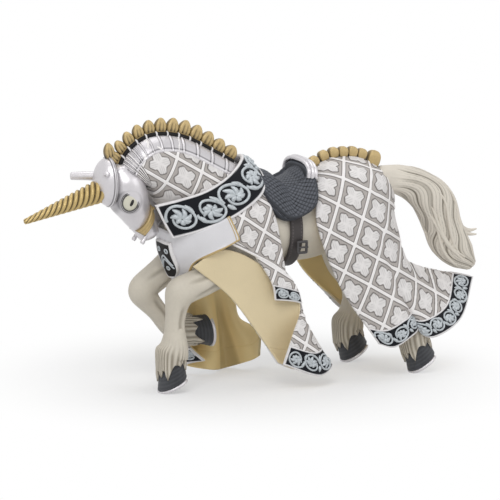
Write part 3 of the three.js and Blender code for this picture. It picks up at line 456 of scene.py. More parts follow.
def cells(ids: Array) -> Array:
    """The four-cornered faces of a grid of point numbers."""
    return grid(ids[:-1, :-1], ids[:-1, 1:], ids[1:, 1:], ids[1:, :-1]).reshape(-1, 4)


def tube(rings: Array, raised: Values, first: Array, last: Array) -> Shape:
    """A closed skin over rings of points.

    Args:
        rings: the rings, one row each.
        raised: paint height, spread over the rings.
        first: what closes the start.
        last: what closes the end.

    Returns:
        The skin.
    """
    rows, sides = rings.shape[:2]
    raised = np.broadcast_to(raised, (rows, sides))
    ids = np.arange(rows * sides).reshape(rows, sides)
    ids = np.concatenate([ids, ids[:, :1]], axis=1)
    tip = rows * sides
    fans = np.concatenate([grid(tip, ids[0, 1:], ids[0, :-1]), grid(tip + 1, ids[-1, :-1], ids[-1, 1:])])
    points = np.concatenate([rings.reshape(-1, 3), first[None], last[None]])
    paint = np.concatenate([raised.ravel(), [raised[0].mean(), raised[-1].mean()]])
    faces = cells(ids)
    return Shape.closed(points, faces, fans, paint, np.zeros(len(faces) + len(fans), int))


def slab(outer: Array, inner: Array, raised: Values, lined: bool = False, ring: bool = False,
         lining: Values = 1.0) -> Shape:
    """A closed sheet between two grids that meet along their edges.

    Args:
        outer: the outer face's grid of points.
        inner: the inner face's grid of points.
        raised: paint height, spread over the outer face.
        lined: whether the inner face has its own finish.
        ring: whether the columns close in a ring.
        lining: paint height, spread over the inner face.

    Returns:
        The sheet.
    """
    rows, columns = outer.shape[:2]
    top = np.arange(rows * columns).reshape(rows, columns)
    under = top + rows * columns
    under[[0, -1]] = top[[0, -1]]
    if ring:
        top, under = (np.concatenate([ids, ids[:, :1]], axis=1) for ids in (top, under))
    else:
        under[:, [0, -1]] = top[:, [0, -1]]
    faces = cells(top)
    points = np.concatenate([outer.reshape(-1, 3), inner.reshape(-1, 3)])
    paint = np.concatenate([np.broadcast_to(part, (rows, columns)).ravel() for part in (raised, lining)])
    wear = np.repeat([0, int(lined)], len(faces))
    both = np.concatenate([faces, cells(under)[:, ::-1]])
    return Shape.closed(points, both, np.zeros((0, 3), int), paint, wear)


def edged(length: float, step: float, rounding: float = 0.6) -> Array:
    """Shares along a length, closer together over its rounded ends.

    Args:
        length: the length in millimetres.
        step: distance between shares away from the ends.
        rounding: length of a rounded end.

    Returns:
        The shares, from 0 to 1.
    """
    close = rounding * np.array([0, 0.04, 0.16, 0.36, 0.64])
    count = max(3, round((length - 2 * rounding) / step) + 1)
    middle = np.linspace(rounding, length - rounding, count)
    return np.concatenate([close, middle, (length - close)[::-1]]) / length


def edge_gap(rows: Array, length: Values, columns: Array, width: Values) -> Array:
    """Distance to a patch's nearest edge, from shares along and across it."""
    down, across = np.minimum(rows, 1 - rows)[:, None], np.minimum(columns, 1 - columns)[None]
    return np.minimum(down * length, across * width)


def rolled(distance: Array, rounding: float = 0.6) -> Array:
    """How far a rounded edge has risen, from 0 on the edge to 1."""
    return np.sqrt(1 - (1 - np.clip(distance / rounding, 0, 1)) ** 2)


def run_lengths(points: Array, axis: int) -> Array:
    """Distance travelled from 0 over a grid of points, along one of its axes."""
    steps = np.linalg.norm(np.diff(points, axis=axis), axis=-1)
    return np.cumsum(np.insert(steps, 0, 0, axis=axis), axis=axis)


@dataclass
class Limb:
    """A rounded limb over stations of (x, y, z, half depth, half width), with leans where its rings tip."""

    stations: Array
    leans: Array | None = None

    CAP_ANGLES = (20, 40, 60, 75)  # rings that round an end, in degrees
    NUDGE = 1e-4  # step of the spine for its slope

    def frame(self, shares: Array) -> tuple[Array, Array, Array, Array]:
        """The spine's own directions.

        Args:
            shares: shares of the spine.

        Returns:
            Centre, tangent, across and upright at each share.
        """
        path = self.stations[:, :3]
        if self.leans is None:
            ahead = spine_run(path, np.minimum(shares + self.NUDGE, 1))
            tangent = unit(ahead - spine_run(path, np.maximum(shares - self.NUDGE, 0)))
        else:
            lean = np.radians(smooth_run(self.leans[:, None], shares)[:, 0])
            tangent = grid(-np.cos(lean), 0 * lean, -np.sin(lean))
        across = unit(SIDEWAYS - tangent * tangent[:, 1:2])
        return spine_run(path, shares), tangent, across, np.cross(across, tangent)

    def sizes(self, shares: Array) -> Array:
        """Half depth and half width at each share of the spine."""
        return smooth_run(self.stations[:, 3:5], shares)

    def skin(self, shares: Values, turns: Array, grow: Values = 0.0, scale: float = 1.0) -> Array:
        """Points on the limb, with the shares, turns and growth spread to one shape.

        Args:
            shares: shares of the spine.
            turns: angles from the top towards +Y.
            grow: how far outside the skin.
            scale: scale of the rings, for rounded ends.

        Returns:
            The points.
        """
        shape, flat = np.shape(shares), np.ravel(shares)
        centre, _, across, upright = (part.reshape(*shape, 3) for part in self.frame(flat))
        deep, wide = self.sizes(flat).T.reshape(2, *shape)
        up = (deep + grow) * scale * np.cos(turns)
        aside = (wide + grow) * scale * np.sin(turns)
        return centre + upright * up[..., None] + across * aside[..., None]

    def loft(self, rings: int, sides: int, rounding: float = 0.55, relief: Relief | None = None) -> Shape:
        """The whole limb with rounded ends.

        Args:
            rings: rings along the spine.
            sides: points round a ring.
            rounding: length of an end over its half width.
            relief: height and paint by share and turn.

        Returns:
            The shape.
        """
        shares, turns = even(rings)[:, None], around(sides)[None]
        height, raised = np.zeros((rings, sides)), np.ones((rings, sides))
        if relief:
            height, raised = relief(shares, turns)
        ends = []
        for share, row, way in ((0.0, 0, -1), (1.0, -1, 1)):
            centre, tangent, _, _ = (part[0] for part in self.frame(np.array([share])))
            reach = way * rounding * self.stations[row, 3:5].min()
            caps = [
                self.skin(share, turns[0], height[row], math.cos(angle)) + tangent * reach * math.sin(angle)
                for angle in np.radians(self.CAP_ANGLES)
            ]
            ends.append((np.array(caps), centre + tangent * reach))
        (first, first_tip), (last, last_tip) = ends
        rows = np.concatenate([first[::-1], self.skin(shares, turns, height), last])
        caps = len(self.CAP_ANGLES)
        return tube(rows, np.pad(raised, ((caps, caps), (0, 0)), "edge"), first_tip, last_tip)

    def cover(self, shares: Array, turns: Array, gap: Array, base: Values, over: Values, under: Values,
              raised: Values, rounding: float = 0.6, ring: bool = False) -> Shape:
        """A moulded cover on the limb, rolled down to its edges.

        Args:
            shares: shares of the spine.
            turns: angles round it.
            gap: distance to the nearest edge.
            base: how far outside the skin its edges lie.
            over: thickness outside the base.
            under: thickness inside the base.
            raised: paint height of the outer face.
            rounding: radius of its edges.
            ring: whether it runs right round.

        Returns:
            The shape.
        """
        edge = rolled(gap, rounding)
        outer = self.skin(shares, turns, base + edge * over)
        return slab(outer, self.skin(shares, turns, base - edge * under), raised, ring=ring)

    def share_at_x(self, x: Array, turns: Array, grow: float) -> Array:
        """Where the skin of a limb along X reaches given places.

        Args:
            x: the places, one row each.
            turns: angles, one column each.
            grow: how far outside the skin.

        Returns:
            A grid of shares.
        """
        fine = even(400)
        reach = self.skin(fine[:, None], turns, grow)[..., 0]
        order = 1 if reach[-1, 0] > reach[0, 0] else -1
        return np.stack([np.interp(x, column[::order], fine[::order]) for column in reach.T], axis=1)

    def side_points(self, flat: Array, side: Side, grow: float) -> Array:
        """Points of the skin seen from one side.

        Args:
            flat: (x, z) places, one row each.
            side: near or far.
            grow: how far outside the skin.

        Returns:
            Points on the skin, one row each.
        """
        fine = even(600)
        centre, tangent, across, upright = self.frame(fine)
        offset = flat[:, None] - centre[None][..., [0, 2]]
        ahead = np.abs(np.einsum("kti,ti->kt", offset, tangent[:, [0, 2]]))
        nearest = np.argmin(ahead + 0.05 * np.linalg.norm(offset, axis=-1), axis=1)
        size = self.sizes(fine)[nearest] + grow
        up = np.einsum("ki,ki->k", offset[np.arange(len(flat)), nearest], upright[nearest][:, [0, 2]])
        wide = size[:, 1] * np.sqrt(np.clip(1 - (up / size[:, 0]) ** 2, 0.02, 1))
        y = centre[nearest, 1] + side.value * wide * across[nearest, 1]
        return grid(flat[:, 0], y, flat[:, 1])


@dataclass
class Spot:
    """Where the points of a sheet lie: places, fall of the cloth, and distances to its rim and foot."""

    points: Array
    depth: Array
    rim: Array
    foot: Array


@dataclass
class Net:
    """A smooth sheet through rows of points, rows going down the cloth. Outward is its outer face's sign."""

    rows: Array
    outward: float

    NUDGE = 0.003  # step of the net for its slopes
    INSIDE = 0.6  # thickness inside the net
    WASH_FOLD = (-0.8, 1.9)  # how far a point lies out from its row where the painted shade in the lining's folds starts and is full

    def at(self, u: Array, v: Array) -> Array:
        """Grid of points, a row for each v and a column for each u."""
        down = smooth_run(self.rows.transpose(1, 0, 2), u).transpose(1, 0, 2)
        return smooth_run(down, v)

    def each(self, u: Array, v: Array) -> Array:
        """One point for each pair of u and v."""
        down = smooth_run(self.rows.transpose(1, 0, 2), u)
        return np.stack([smooth_run(down[k], v[k:k + 1])[0] for k in range(len(u))])

    def normals(self, find: Callable[[Array, Array], Array], u: Array, v: Array) -> Array:
        """Outward normals.

        Args:
            find: the method that gives the points, at or each.
            u: shares along the net.
            v: shares down the net.

        Returns:
            A normal for each of its points.
        """
        along = find(np.minimum(u + self.NUDGE, 1), v) - find(np.maximum(u - self.NUDGE, 0), v)
        fall = find(u, np.minimum(v + self.NUDGE, 1)) - find(u, np.maximum(v - self.NUDGE, 0))
        return self.outward * unit(np.cross(along, fall))

    def above(self, u: Array, v: Array, lift: float) -> Array:
        """One point above the net for each pair of u and v."""
        return self.each(u, v) + self.normals(self.each, u, v) * lift

    def depth(self, u: Array, v: Array) -> Array:
        """Heights with the cloth rolled out flat below and above its middle row.

        Args:
            u: shares along the net.
            v: shares down the net.

        Returns:
            A grid of heights.
        """
        fine = even(81)
        middle = len(fine) // 2
        points = self.at(u, fine)
        fallen = run_lengths(points * np.array([0, 1, 1]), 0)
        level = points[middle, :, 2] + fallen[middle]
        return np.stack([np.interp(v, fine, level[j] - fallen[:, j]) for j in range(len(u))], axis=1)

    def sheet(self, relief: Relief, span: Span = (0, 1), out: float = 0.6, step: float = 0.35,
              lined: bool = False, wash: float = 0.0) -> Shape:
        """A moulded sheet with rounded edges.

        Args:
            relief: height and paint of the outer face.
            span: top and bottom shares of the net.
            out: thickness outside the net.
            step: size of the mesh.
            lined: whether the inner face has its own finish.
            wash: how far painted shade darkens the troughs of the lining's folds.

        Returns:
            The shape.
        """
        trial = self.at(even(40), np.linspace(*span, 40))
        u = edged(run_lengths(trial, 1)[:, -1].max(), step)
        v = span[0] + (span[1] - span[0]) * edged(run_lengths(trial, 0)[-1].max(), step)
        points, normals = self.at(u, v), self.normals(self.at, u, v)
        along, fall = run_lengths(points, 1), run_lengths(points, 0)
        front, foot = np.minimum(along, along[:, -1:] - along), fall[-1:] - fall
        rim = np.minimum(front, np.minimum(fall, foot))
        height, raised = relief(Spot(points, self.depth(u, v), rim, foot))
        edge = rolled(rim)
        outer = points + normals * ((out + height) * edge)[..., None]
        inner = points - normals * (self.INSIDE * edge)[..., None]
        # The lining is painted darker where the cloth lies farther out from the horse, the troughs of its
        # folds: painted shade.
        aside = np.abs(points[..., 1])
        away = aside - aside.mean(axis=1, keepdims=True)
        return slab(outer, inner, raised, lined, lining=1 - wash * ease(*self.WASH_FOLD, away))

    def middle(self, span: Span) -> tuple[Array, Array]:
        """Shares along the middle of a band, and the distance to each."""
        fine = even(200)
        return fine, run_lengths(self.at(fine, np.array([np.mean(span)])), 1)[0]

    def size(self, span: Span) -> Array:
        """Length and width of a band of the net."""
        width = run_lengths(self.at(np.array([0.2]), np.linspace(*span, 20)), 0)[-1, 0]
        return np.array([self.middle(span)[1][-1], width])

    def trace(self, drawn: Array, span: Span, lift: float) -> Array:
        """Lay a flat drawing on the sheet.

        Args:
            drawn: shares along and down the span.
            span: top and bottom shares of the net.
            lift: how far outside the net.

        Returns:
            A point for each row.
        """
        fine, travelled = self.middle(span)
        u = np.interp(drawn[:, 0] * travelled[-1], travelled, fine)
        return self.above(u, span[0] + (span[1] - span[0]) * drawn[:, 1], lift)


@dataclass(frozen=True)
class Lattice:
    """Quilting: crossed raised cords with a four-pointed leaf in each diamond."""

    crossing: Span  # x and height of one crossing
    along: Span  # one cell along the cloth
    down: Span  # one cell down it
    cord: float = 0.36  # half width of a cord
    cord_height: float = 0.34
    leaf_height: float = 0.24

    def __call__(self, spot: Spot) -> Painted:
        """Height and paint of the quilting on a sheet."""
        return self.pattern(spot.points[..., 0], spot.depth)

    def pattern(self, x: Array, depth: Array) -> Painted:
        """The quilting on a surface.

        Args:
            x: places along it.
            depth: heights on it, rolled out flat.

        Returns:
            Height and paint.
        """
        basis = np.array([self.along, self.down]).T
        flat = np.stack([x - self.crossing[0], depth - self.crossing[1]])
        a, b = np.einsum("ij,jmn->imn", np.linalg.inv(basis), flat)
        area = abs(np.linalg.det(basis))
        from_a = np.abs(a - np.round(a)) * area / np.hypot(*self.down)
        from_b = np.abs(b - np.round(b)) * area / np.hypot(*self.along)
        cord = ease(self.cord + 0.55, self.cord - 0.12, np.minimum(from_a, from_b))
        p, q = a - np.floor(a) - 0.5, b - np.floor(b) - 0.5
        reach, angle = np.hypot(p, q), np.arctan2(q, p)
        lobes = 0.155 * np.abs(np.sin(2 * angle)) ** 1.2 + 0.012 * np.cos(12 * angle + 2 * np.round(a))
        leaf = ease(-0.055, 0.025, 0.245 + lobes - reach)
        slant = np.abs(p) - np.abs(q)
        vein = ridge(slant, 0, 0.03) * ease(0.05, 0.12, reach)
        rib = ridge(np.abs(slant), 0.1, 0.022) * ease(0.1, 0.2, reach)
        leaf_rise = self.leaf_height * leaf * (1 - 0.35 * vein - 0.25 * rib)
        height = np.maximum(self.cord_height * cord, leaf_rise)
        return height, np.maximum(cord, leaf * (0.67 - 0.06 * vein - 0.08 * rib))


@dataclass(frozen=True)
class Corded:
    """Quilting with a raised cord along the lower edge."""

    quilt: Lattice
    height: float = 0.4

    def __call__(self, spot: Spot) -> Painted:
        """The quilting on a sheet.

        Args:
            spot: where the sheet's points lie.

        Returns:
            Height and paint.
        """
        height, raised = self.quilt(spot)
        cord = ease(1.5, 1.1, spot.foot)
        clear = 1 - ease(2.2, 1.7, spot.foot) * (1 - cord)
        return np.maximum(height * clear, self.height * cord), np.maximum(raised * clear, cord)


@dataclass(frozen=True)
class Border:
    """A dark band with a raised light rim."""

    width: float
    height: float = 0.25

    def __call__(self, spot: Spot) -> Painted:
        """Height and paint of the band."""
        rim = ease(self.width + 0.15, self.width - 0.15, spot.rim)
        return self.height * rim, rim


@dataclass
class Strand:
    """One drawn line and its thickness, even or along it."""

    path: Array
    radius: Values

    @classmethod
    def tapered(cls, path: Array, radius: float, tip: float) -> "Strand":
        """A strand that thins to a share of its radius at its tip."""
        return cls(path, radius * (1 + (tip - 1) * even(len(path)) ** 1.3))


@dataclass(frozen=True)
class Vine:
    """A running scroll: in each bay the stem curls round a leaf, now over it and now under."""

    bay: float  # length of one bay
    stem: float  # radius of the stem
    rim: float  # clear edge of the band

    # Angle and reach of each leaflet, and its thickness along it in stems.
    LEAFLETS = ((-2.6, 0.46), (-1.5, 0.4), (-0.5, 0.5), (0.3, 0.7), (1.05, 0.74), (1.9, 0.76), (2.75, 0.66))
    SWELL = (0.9, 1.4, 1.75, 1.6, 1.15, 0.4)
    STEPS = even(len(SWELL))[:, None]

    def strands(self, net: Net, span: Span, lift: float) -> list[Strand]:
        """The scroll along a band of a net.

        Args:
            net: the sheet that carries it.
            span: top and bottom shares of the band.
            lift: how far outside the net.

        Returns:
            The scroll's strands.
        """
        size = net.size(span)
        clear = size[0] - 2 * self.rim
        bays = max(2, round(clear / self.bay))
        bay, room = clear / bays, size[1] / 2 - self.rim
        reach = np.array([0.5 * bay, 0.94 * room])
        swell = self.stem * np.array(self.SWELL)
        flat = []
        for k in range(bays):
            way = np.array([1, 1 if k % 2 else -1])
            hub = np.array([self.rim + (k + 0.5) * bay, size[1] / 2])
            flat.append(Strand.tapered(hub + self.curl(reach) * way, self.stem, 0.8))
            flat += [Strand(hub + leaf, swell) for leaf in self.leaf(reach * way)]
            if k:
                tip = np.array([0.16 * bay, 0.8 * room])
                joint = np.array([self.rim + k * bay, size[1] / 2])
                spur = 0.25 + 0.75 * self.STEPS
                flat += [Strand(joint + spur * end, 0.9 * swell) for end in (-tip, tip)]
        return [Strand(net.trace(one.path / size, span, lift), one.radius) for one in flat]

    @staticmethod
    def curl(reach: Array) -> Array:
        """The stem's curl about the middle of a bay.

        Args:
            reach: its half sizes.

        Returns:
            Points of the flat drawing.
        """
        wound = even(34)
        turn = np.pi * (1 - 2.1 * wound)
        return (1 - 0.46 * wound**1.7)[:, None] * reach * grid(np.cos(turn), np.sin(turn))

    def leaf(self, reach: Array) -> list[Array]:
        """The leaf about the middle of a bay.

        Args:
            reach: half sizes of the curl round it.

        Returns:
            The leaflets' flat drawings.
        """
        found = []
        for angle, far in self.LEAFLETS:
            aim = np.array([math.cos(angle), math.sin(angle)]) * reach
            bend = np.array([-aim[1], aim[0]]) * 0.2 * np.sin(np.pi * self.STEPS)
            found.append((0.05 + far * self.STEPS) * aim + bend * far)
        return found


class GrowTree:
    """A Geometry Nodes tree with named inputs that ends in real, painted geometry."""

    def __init__(self, name: str, **inputs: str) -> None:
        """Start the tree.

        Args:
            name: the tree's name.
            inputs: the kind of socket of each named input.
        """
        self.group = bpy.data.node_groups.new(name, "GeometryNodeTree")
        self.keys: dict[str, str] = {}
        for label, kind in inputs.items():
            socket = self.group.interface.new_socket(label, in_out="INPUT", socket_type=f"NodeSocket{kind}")
            self.keys[label] = socket.identifier
        self.group.interface.new_socket("Grown", in_out="OUTPUT", socket_type="NodeSocketGeometry")
        self.bench = NodeBench(self.group)
        self.given = self.bench.add("NodeGroupInput")

    def attribute(self, name: str, kind: str) -> Shade:
        """A named value of the points."""
        return self.bench.shade("GeometryNodeInputNamedAttribute", {"Name": name}, data_type=kind)

    def close(self, grown: Shade) -> None:
        """End the tree: real geometry, then its finish.

        Args:
            grown: what the tree has made.
        """
        real = self.bench.shade("GeometryNodeRealizeInstances", {0: grown})
        finish = {"Geometry": real, "Material": self.given.outputs["Finish"]}
        worn = self.bench.shade("GeometryNodeSetMaterial", finish)
        self.bench.add("NodeGroupOutput", {0: worn})

    def grow(self, piece: Object, **inputs: Any) -> None:
        """Run the tree on a piece and keep the result as its plain mesh.

        Args:
            piece: what the tree starts from.
            inputs: the value of each named input.
        """
        modifier = piece.modifiers.new(self.group.name, "NODES")
        modifier.node_group = self.group
        for label, value in inputs.items():
            modifier[self.keys[label]] = value
        ready = piece.evaluated_get(bpy.context.evaluated_depsgraph_get())
        mesh = bpy.data.meshes.new_from_object(ready)
        piece.modifiers.remove(modifier)
        drawn, piece.data = piece.data, mesh
        bpy.data.meshes.remove(drawn)


class StrandTree(GrowTree):
    """Sweeps round strands along drawn lines, as thick as the lines say."""

    def __init__(self) -> None:
        """Build the tree once."""
        super().__init__("strands_along_lines", Lines="Geometry", Sides="Int", Finish="Material")
        bench, given = self.bench, self.given.outputs
        lines = bench.shade("GeometryNodeMeshToCurve", {"Mesh": given["Lines"]})
        circle = {"Resolution": given["Sides"], "Radius": 1.0}
        ring = bench.shade("GeometryNodeCurvePrimitiveCircle", circle)
        sweep = {"Curve": lines, "Profile Curve": ring, "Scale": self.attribute("radius", "FLOAT")}
        swept = bench.shade("GeometryNodeCurveToMesh", {**sweep, "Fill Caps": True})
        paint = {"Geometry": swept, "Name": "raised", "Value": 1.0}
        painted = bench.shade("GeometryNodeStoreNamedAttribute", paint, data_type="FLOAT", domain="POINT")
        self.close(bench.shade("GeometryNodeSetShadeSmooth", {0: painted}))


class LobeTree(GrowTree):
    """Sets one lobe on each point, turned and sized as the point says."""

    def __init__(self) -> None:
        """Build the tree once."""
        super().__init__("lobes_on_points", Points="Geometry", Lobe="Object", Finish="Material")
        given = self.given.outputs
        lobe = self.bench.shade("GeometryNodeObjectInfo", {"Object": given["Lobe"]}, "Geometry")
        turn, size = (self.attribute(name, "FLOAT_VECTOR") for name in ("turn", "size"))
        setting = {"Points": given["Points"], "Instance": lobe, "Rotation": turn, "Scale": size}
        self.close(self.bench.shade("GeometryNodeInstanceOnPoints", setting))


@dataclass
class Lobe:
    """Where one crest lobe stands: foot, directions along and up, and its length, thickness and height."""

    foot: Array
    along: Array
    up: Array
    size: Place

    @staticmethod
    def pattern(blunt: float) -> Shape:
        """A lobe of unit size with two grooves down each face.

        Args:
            blunt: how square its top is, a petal at 2.

        Returns:
            The shape.
        """
        turns = around(36)[None]
        rise = even(26)[:, None]
        width = np.sqrt(np.clip(1 - rise**blunt, 0, 1)) * (0.88 + 0.16 * np.sin(np.pi * rise))
        along = np.sign(np.cos(turns)) * np.abs(np.cos(turns)) ** (1.8 / (blunt + 0.5))
        thick = np.sign(np.sin(turns)) * np.abs(np.sin(turns)) ** 0.7
        groove = ridge(along, -0.28, 0.14) + ridge(along, 0.34, 0.14)
        hollow = groove * np.abs(np.sin(turns)) ** 0.5 * ease(0.96, 0.5, rise)
        rings = grid(width * along, width * thick * (1 - 0.25 * hollow), rise)
        # Darker in the grooves, low on the lobe and down its sides where neighbouring lobes meet: painted
        # shade.
        side = np.abs(along) ** 6 * ease(1.1, 0.8, rise)
        raised = 1 - 0.75 * hollow - 0.4 * ease(0.4, 0, rise) - 0.75 * side
        return tube(rings[:-1], raised[:-1], np.zeros(3), np.array([0, 0, 1.0]))


class Workshop:
    """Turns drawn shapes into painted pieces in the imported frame."""

    GIRTH_X = 11.0  # where the drawing has the middle of the girth
    HOOF_Y = -9.5  # and of the near fore hoof

    def __init__(self, slots: dict[str, str]) -> None:
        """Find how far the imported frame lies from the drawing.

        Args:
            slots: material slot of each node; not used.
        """
        girth, hoof = (sum(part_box(node), Vector()) / 2 / MM for node in ("girth_strap", "near_fore_hoof"))
        self.shift = np.array([girth.x - self.GIRTH_X, hoof.y - self.HOOF_Y, 0.0])
        self.slots = slots
        self.strand_tree = StrandTree()
        self.lobe_tree = LobeTree()

    def place(self, points: Array) -> Array:
        """Drawing millimetres to packed metres."""
        return (points + self.shift) * MM

    def fit(self, name: str, shape: Shape, *finishes: Finish, node: str | None = None) -> None:
        """Make a piece from a drawn shape.

        Args:
            name: its name.
            shape: the drawn shape.
            finishes: one for each number in its wear.
            node: the node it stands for, if any.
        """
        placed = replace(shape, points=self.place(shape.points))
        piece = self._piece(name, placed.mesh(name))
        for finish in finishes:
            piece.data.materials.append(finish.material())
        self._hand_over(piece, node)

    def mould(self, node: str, shape: Shape, *finishes: Finish) -> None:
        """Make the piece that stands for a node."""
        self.fit(f"{node}_moulding", shape, *finishes, node=node)

    def strands(self, name: str, strands: Sequence[Strand], finish: Finish, sides: int = 8,
                node: str | None = None) -> None:
        """Sweep strands into one piece.

        Args:
            name: its name.
            strands: the drawn lines.
            finish: their paint.
            sides: points round a strand.
            node: the node it stands for, if any.
        """
        lines = bpy.data.meshes.new(name)
        starts = np.cumsum([0] + [len(s.path) for s in strands])
        links = [(i, i + 1) for a, b in zip(starts, starts[1:]) for i in range(a, b - 1)]
        lines.from_pydata(self.place(np.concatenate([s.path for s in strands])).tolist(), links, [])
        radii = np.concatenate([np.broadcast_to(s.radius, len(s.path)) for s in strands])
        radius = lines.attributes.new("radius", "FLOAT", "POINT")
        radius.data.foreach_set("value", (radii * MM).astype(np.float32))
        piece = self._piece(name, lines)
        self.strand_tree.grow(piece, Sides=sides, Finish=finish.material())
        self._hand_over(piece, node)

    def lobes(self, name: str, lobes: Sequence[Lobe], finish: Finish, blunt: float,
              node: str | None = None) -> None:
        """Set a row of crest lobes.

        Args:
            name: its name.
            lobes: where they stand.
            finish: their paint.
            blunt: how square their tops are.
            node: the node it stands for, if any.
        """
        pattern = self._piece("lobe_pattern", Lobe.pattern(blunt).mesh("lobe_pattern"))
        feet = bpy.data.meshes.new(name)
        feet.from_pydata(self.place(np.array([one.foot for one in lobes])).tolist(), [], [])
        axes = [Matrix((one.along, np.cross(one.up, one.along), one.up)).transposed() for one in lobes]
        sizes = [np.array(one.size) * MM for one in lobes]
        for key, rows in (("turn", [turn.to_euler() for turn in axes]), ("size", sizes)):
            written = feet.attributes.new(key, "FLOAT_VECTOR", "POINT")
            written.data.foreach_set("vector", np.array(rows, np.float32).ravel())
        piece = self._piece(name, feet)
        self.lobe_tree.grow(piece, Lobe=pattern, Finish=finish.material())
        bpy.data.objects.remove(pattern)
        self._hand_over(piece, node)

    @staticmethod
    def _piece(name: str, mesh: Mesh) -> Object:
        """A new object at the origin."""
        bpy.context.scene.collection.objects.link(piece := bpy.data.objects.new(name, mesh))
        return piece

    def _hand_over(self, piece: Object, node: str | None) -> None:
        """Fix a finished piece to the horse and hide the node it stands for.

        Args:
            piece: the piece.
            node: the node that it stands for, if any.
        """
        if node:
            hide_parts(node)
        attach(piece, "root")


@dataclass
class Assembly:
    """A part of the horse and the workshop that makes it."""

    shop: Workshop


@dataclass(frozen=True)
class HoofFrame:
    """Where a hoof stands: sole at the origin, toe along -X and leg along +Z, tipped down at the toe."""

    sole: Place  # the sole's middle
    pitch: float  # degrees
    lean: float = 0.16  # how far the top lies back, in hoof lengths
    length: float = 11.6
    width: float = 10.4
    height: float = 7.6
    taper: float = 0.8  # size of the top over the sole
    iron: float = 0.9  # thickness of the shoe
    gap: float = 0.3  # between shoe and sole
    toe_flat: float = 0.55  # what the ground cuts off the toe

    @classmethod
    def planted(cls, x: float, y: float, pitch: float, lean: float = 0.16) -> "HoofFrame":
        """A hoof whose toe stands on the ground.

        Args:
            x: the sole's place along the horse.
            y: its place across the horse.
            pitch: degrees.
            lean: how far the top lies back.

        Returns:
            The hoof's frame.
        """
        angle = math.radians(pitch)
        height = cls.length / 2 * math.sin(angle) + (cls.iron + cls.gap) * math.cos(angle) - cls.toe_flat
        return cls((x, y, height), pitch, lean)

    def place(self, x: Values, y: Values, z: Values) -> Array:
        """From the hoof's frame to the drawing, never under the ground."""
        points = tipped(x, y, z, self.pitch) + np.array(self.sole)
        return np.maximum(points, np.array([-np.inf, -np.inf, 0]))

    def outline(self, share: Values, turns: Array, swell: Values) -> Array:
        """Points round the hoof.

        Args:
            share: shares of its height.
            turns: angles from the heel.
            swell: scale of the outline.

        Returns:
            The points.
        """
        scale = (1 + (self.taper - 1) * share) * swell
        x = self.length / 2 * scale * np.cos(turns) + self.lean * self.length * share
        return self.place(x, self.width / 2 * scale * np.sin(turns), self.height * share)

    def coronet(self, above: float) -> Array:
        """The middle of the hoof's top, or a point above it."""
        return self.place(self.lean * self.length, 0, self.height + above)


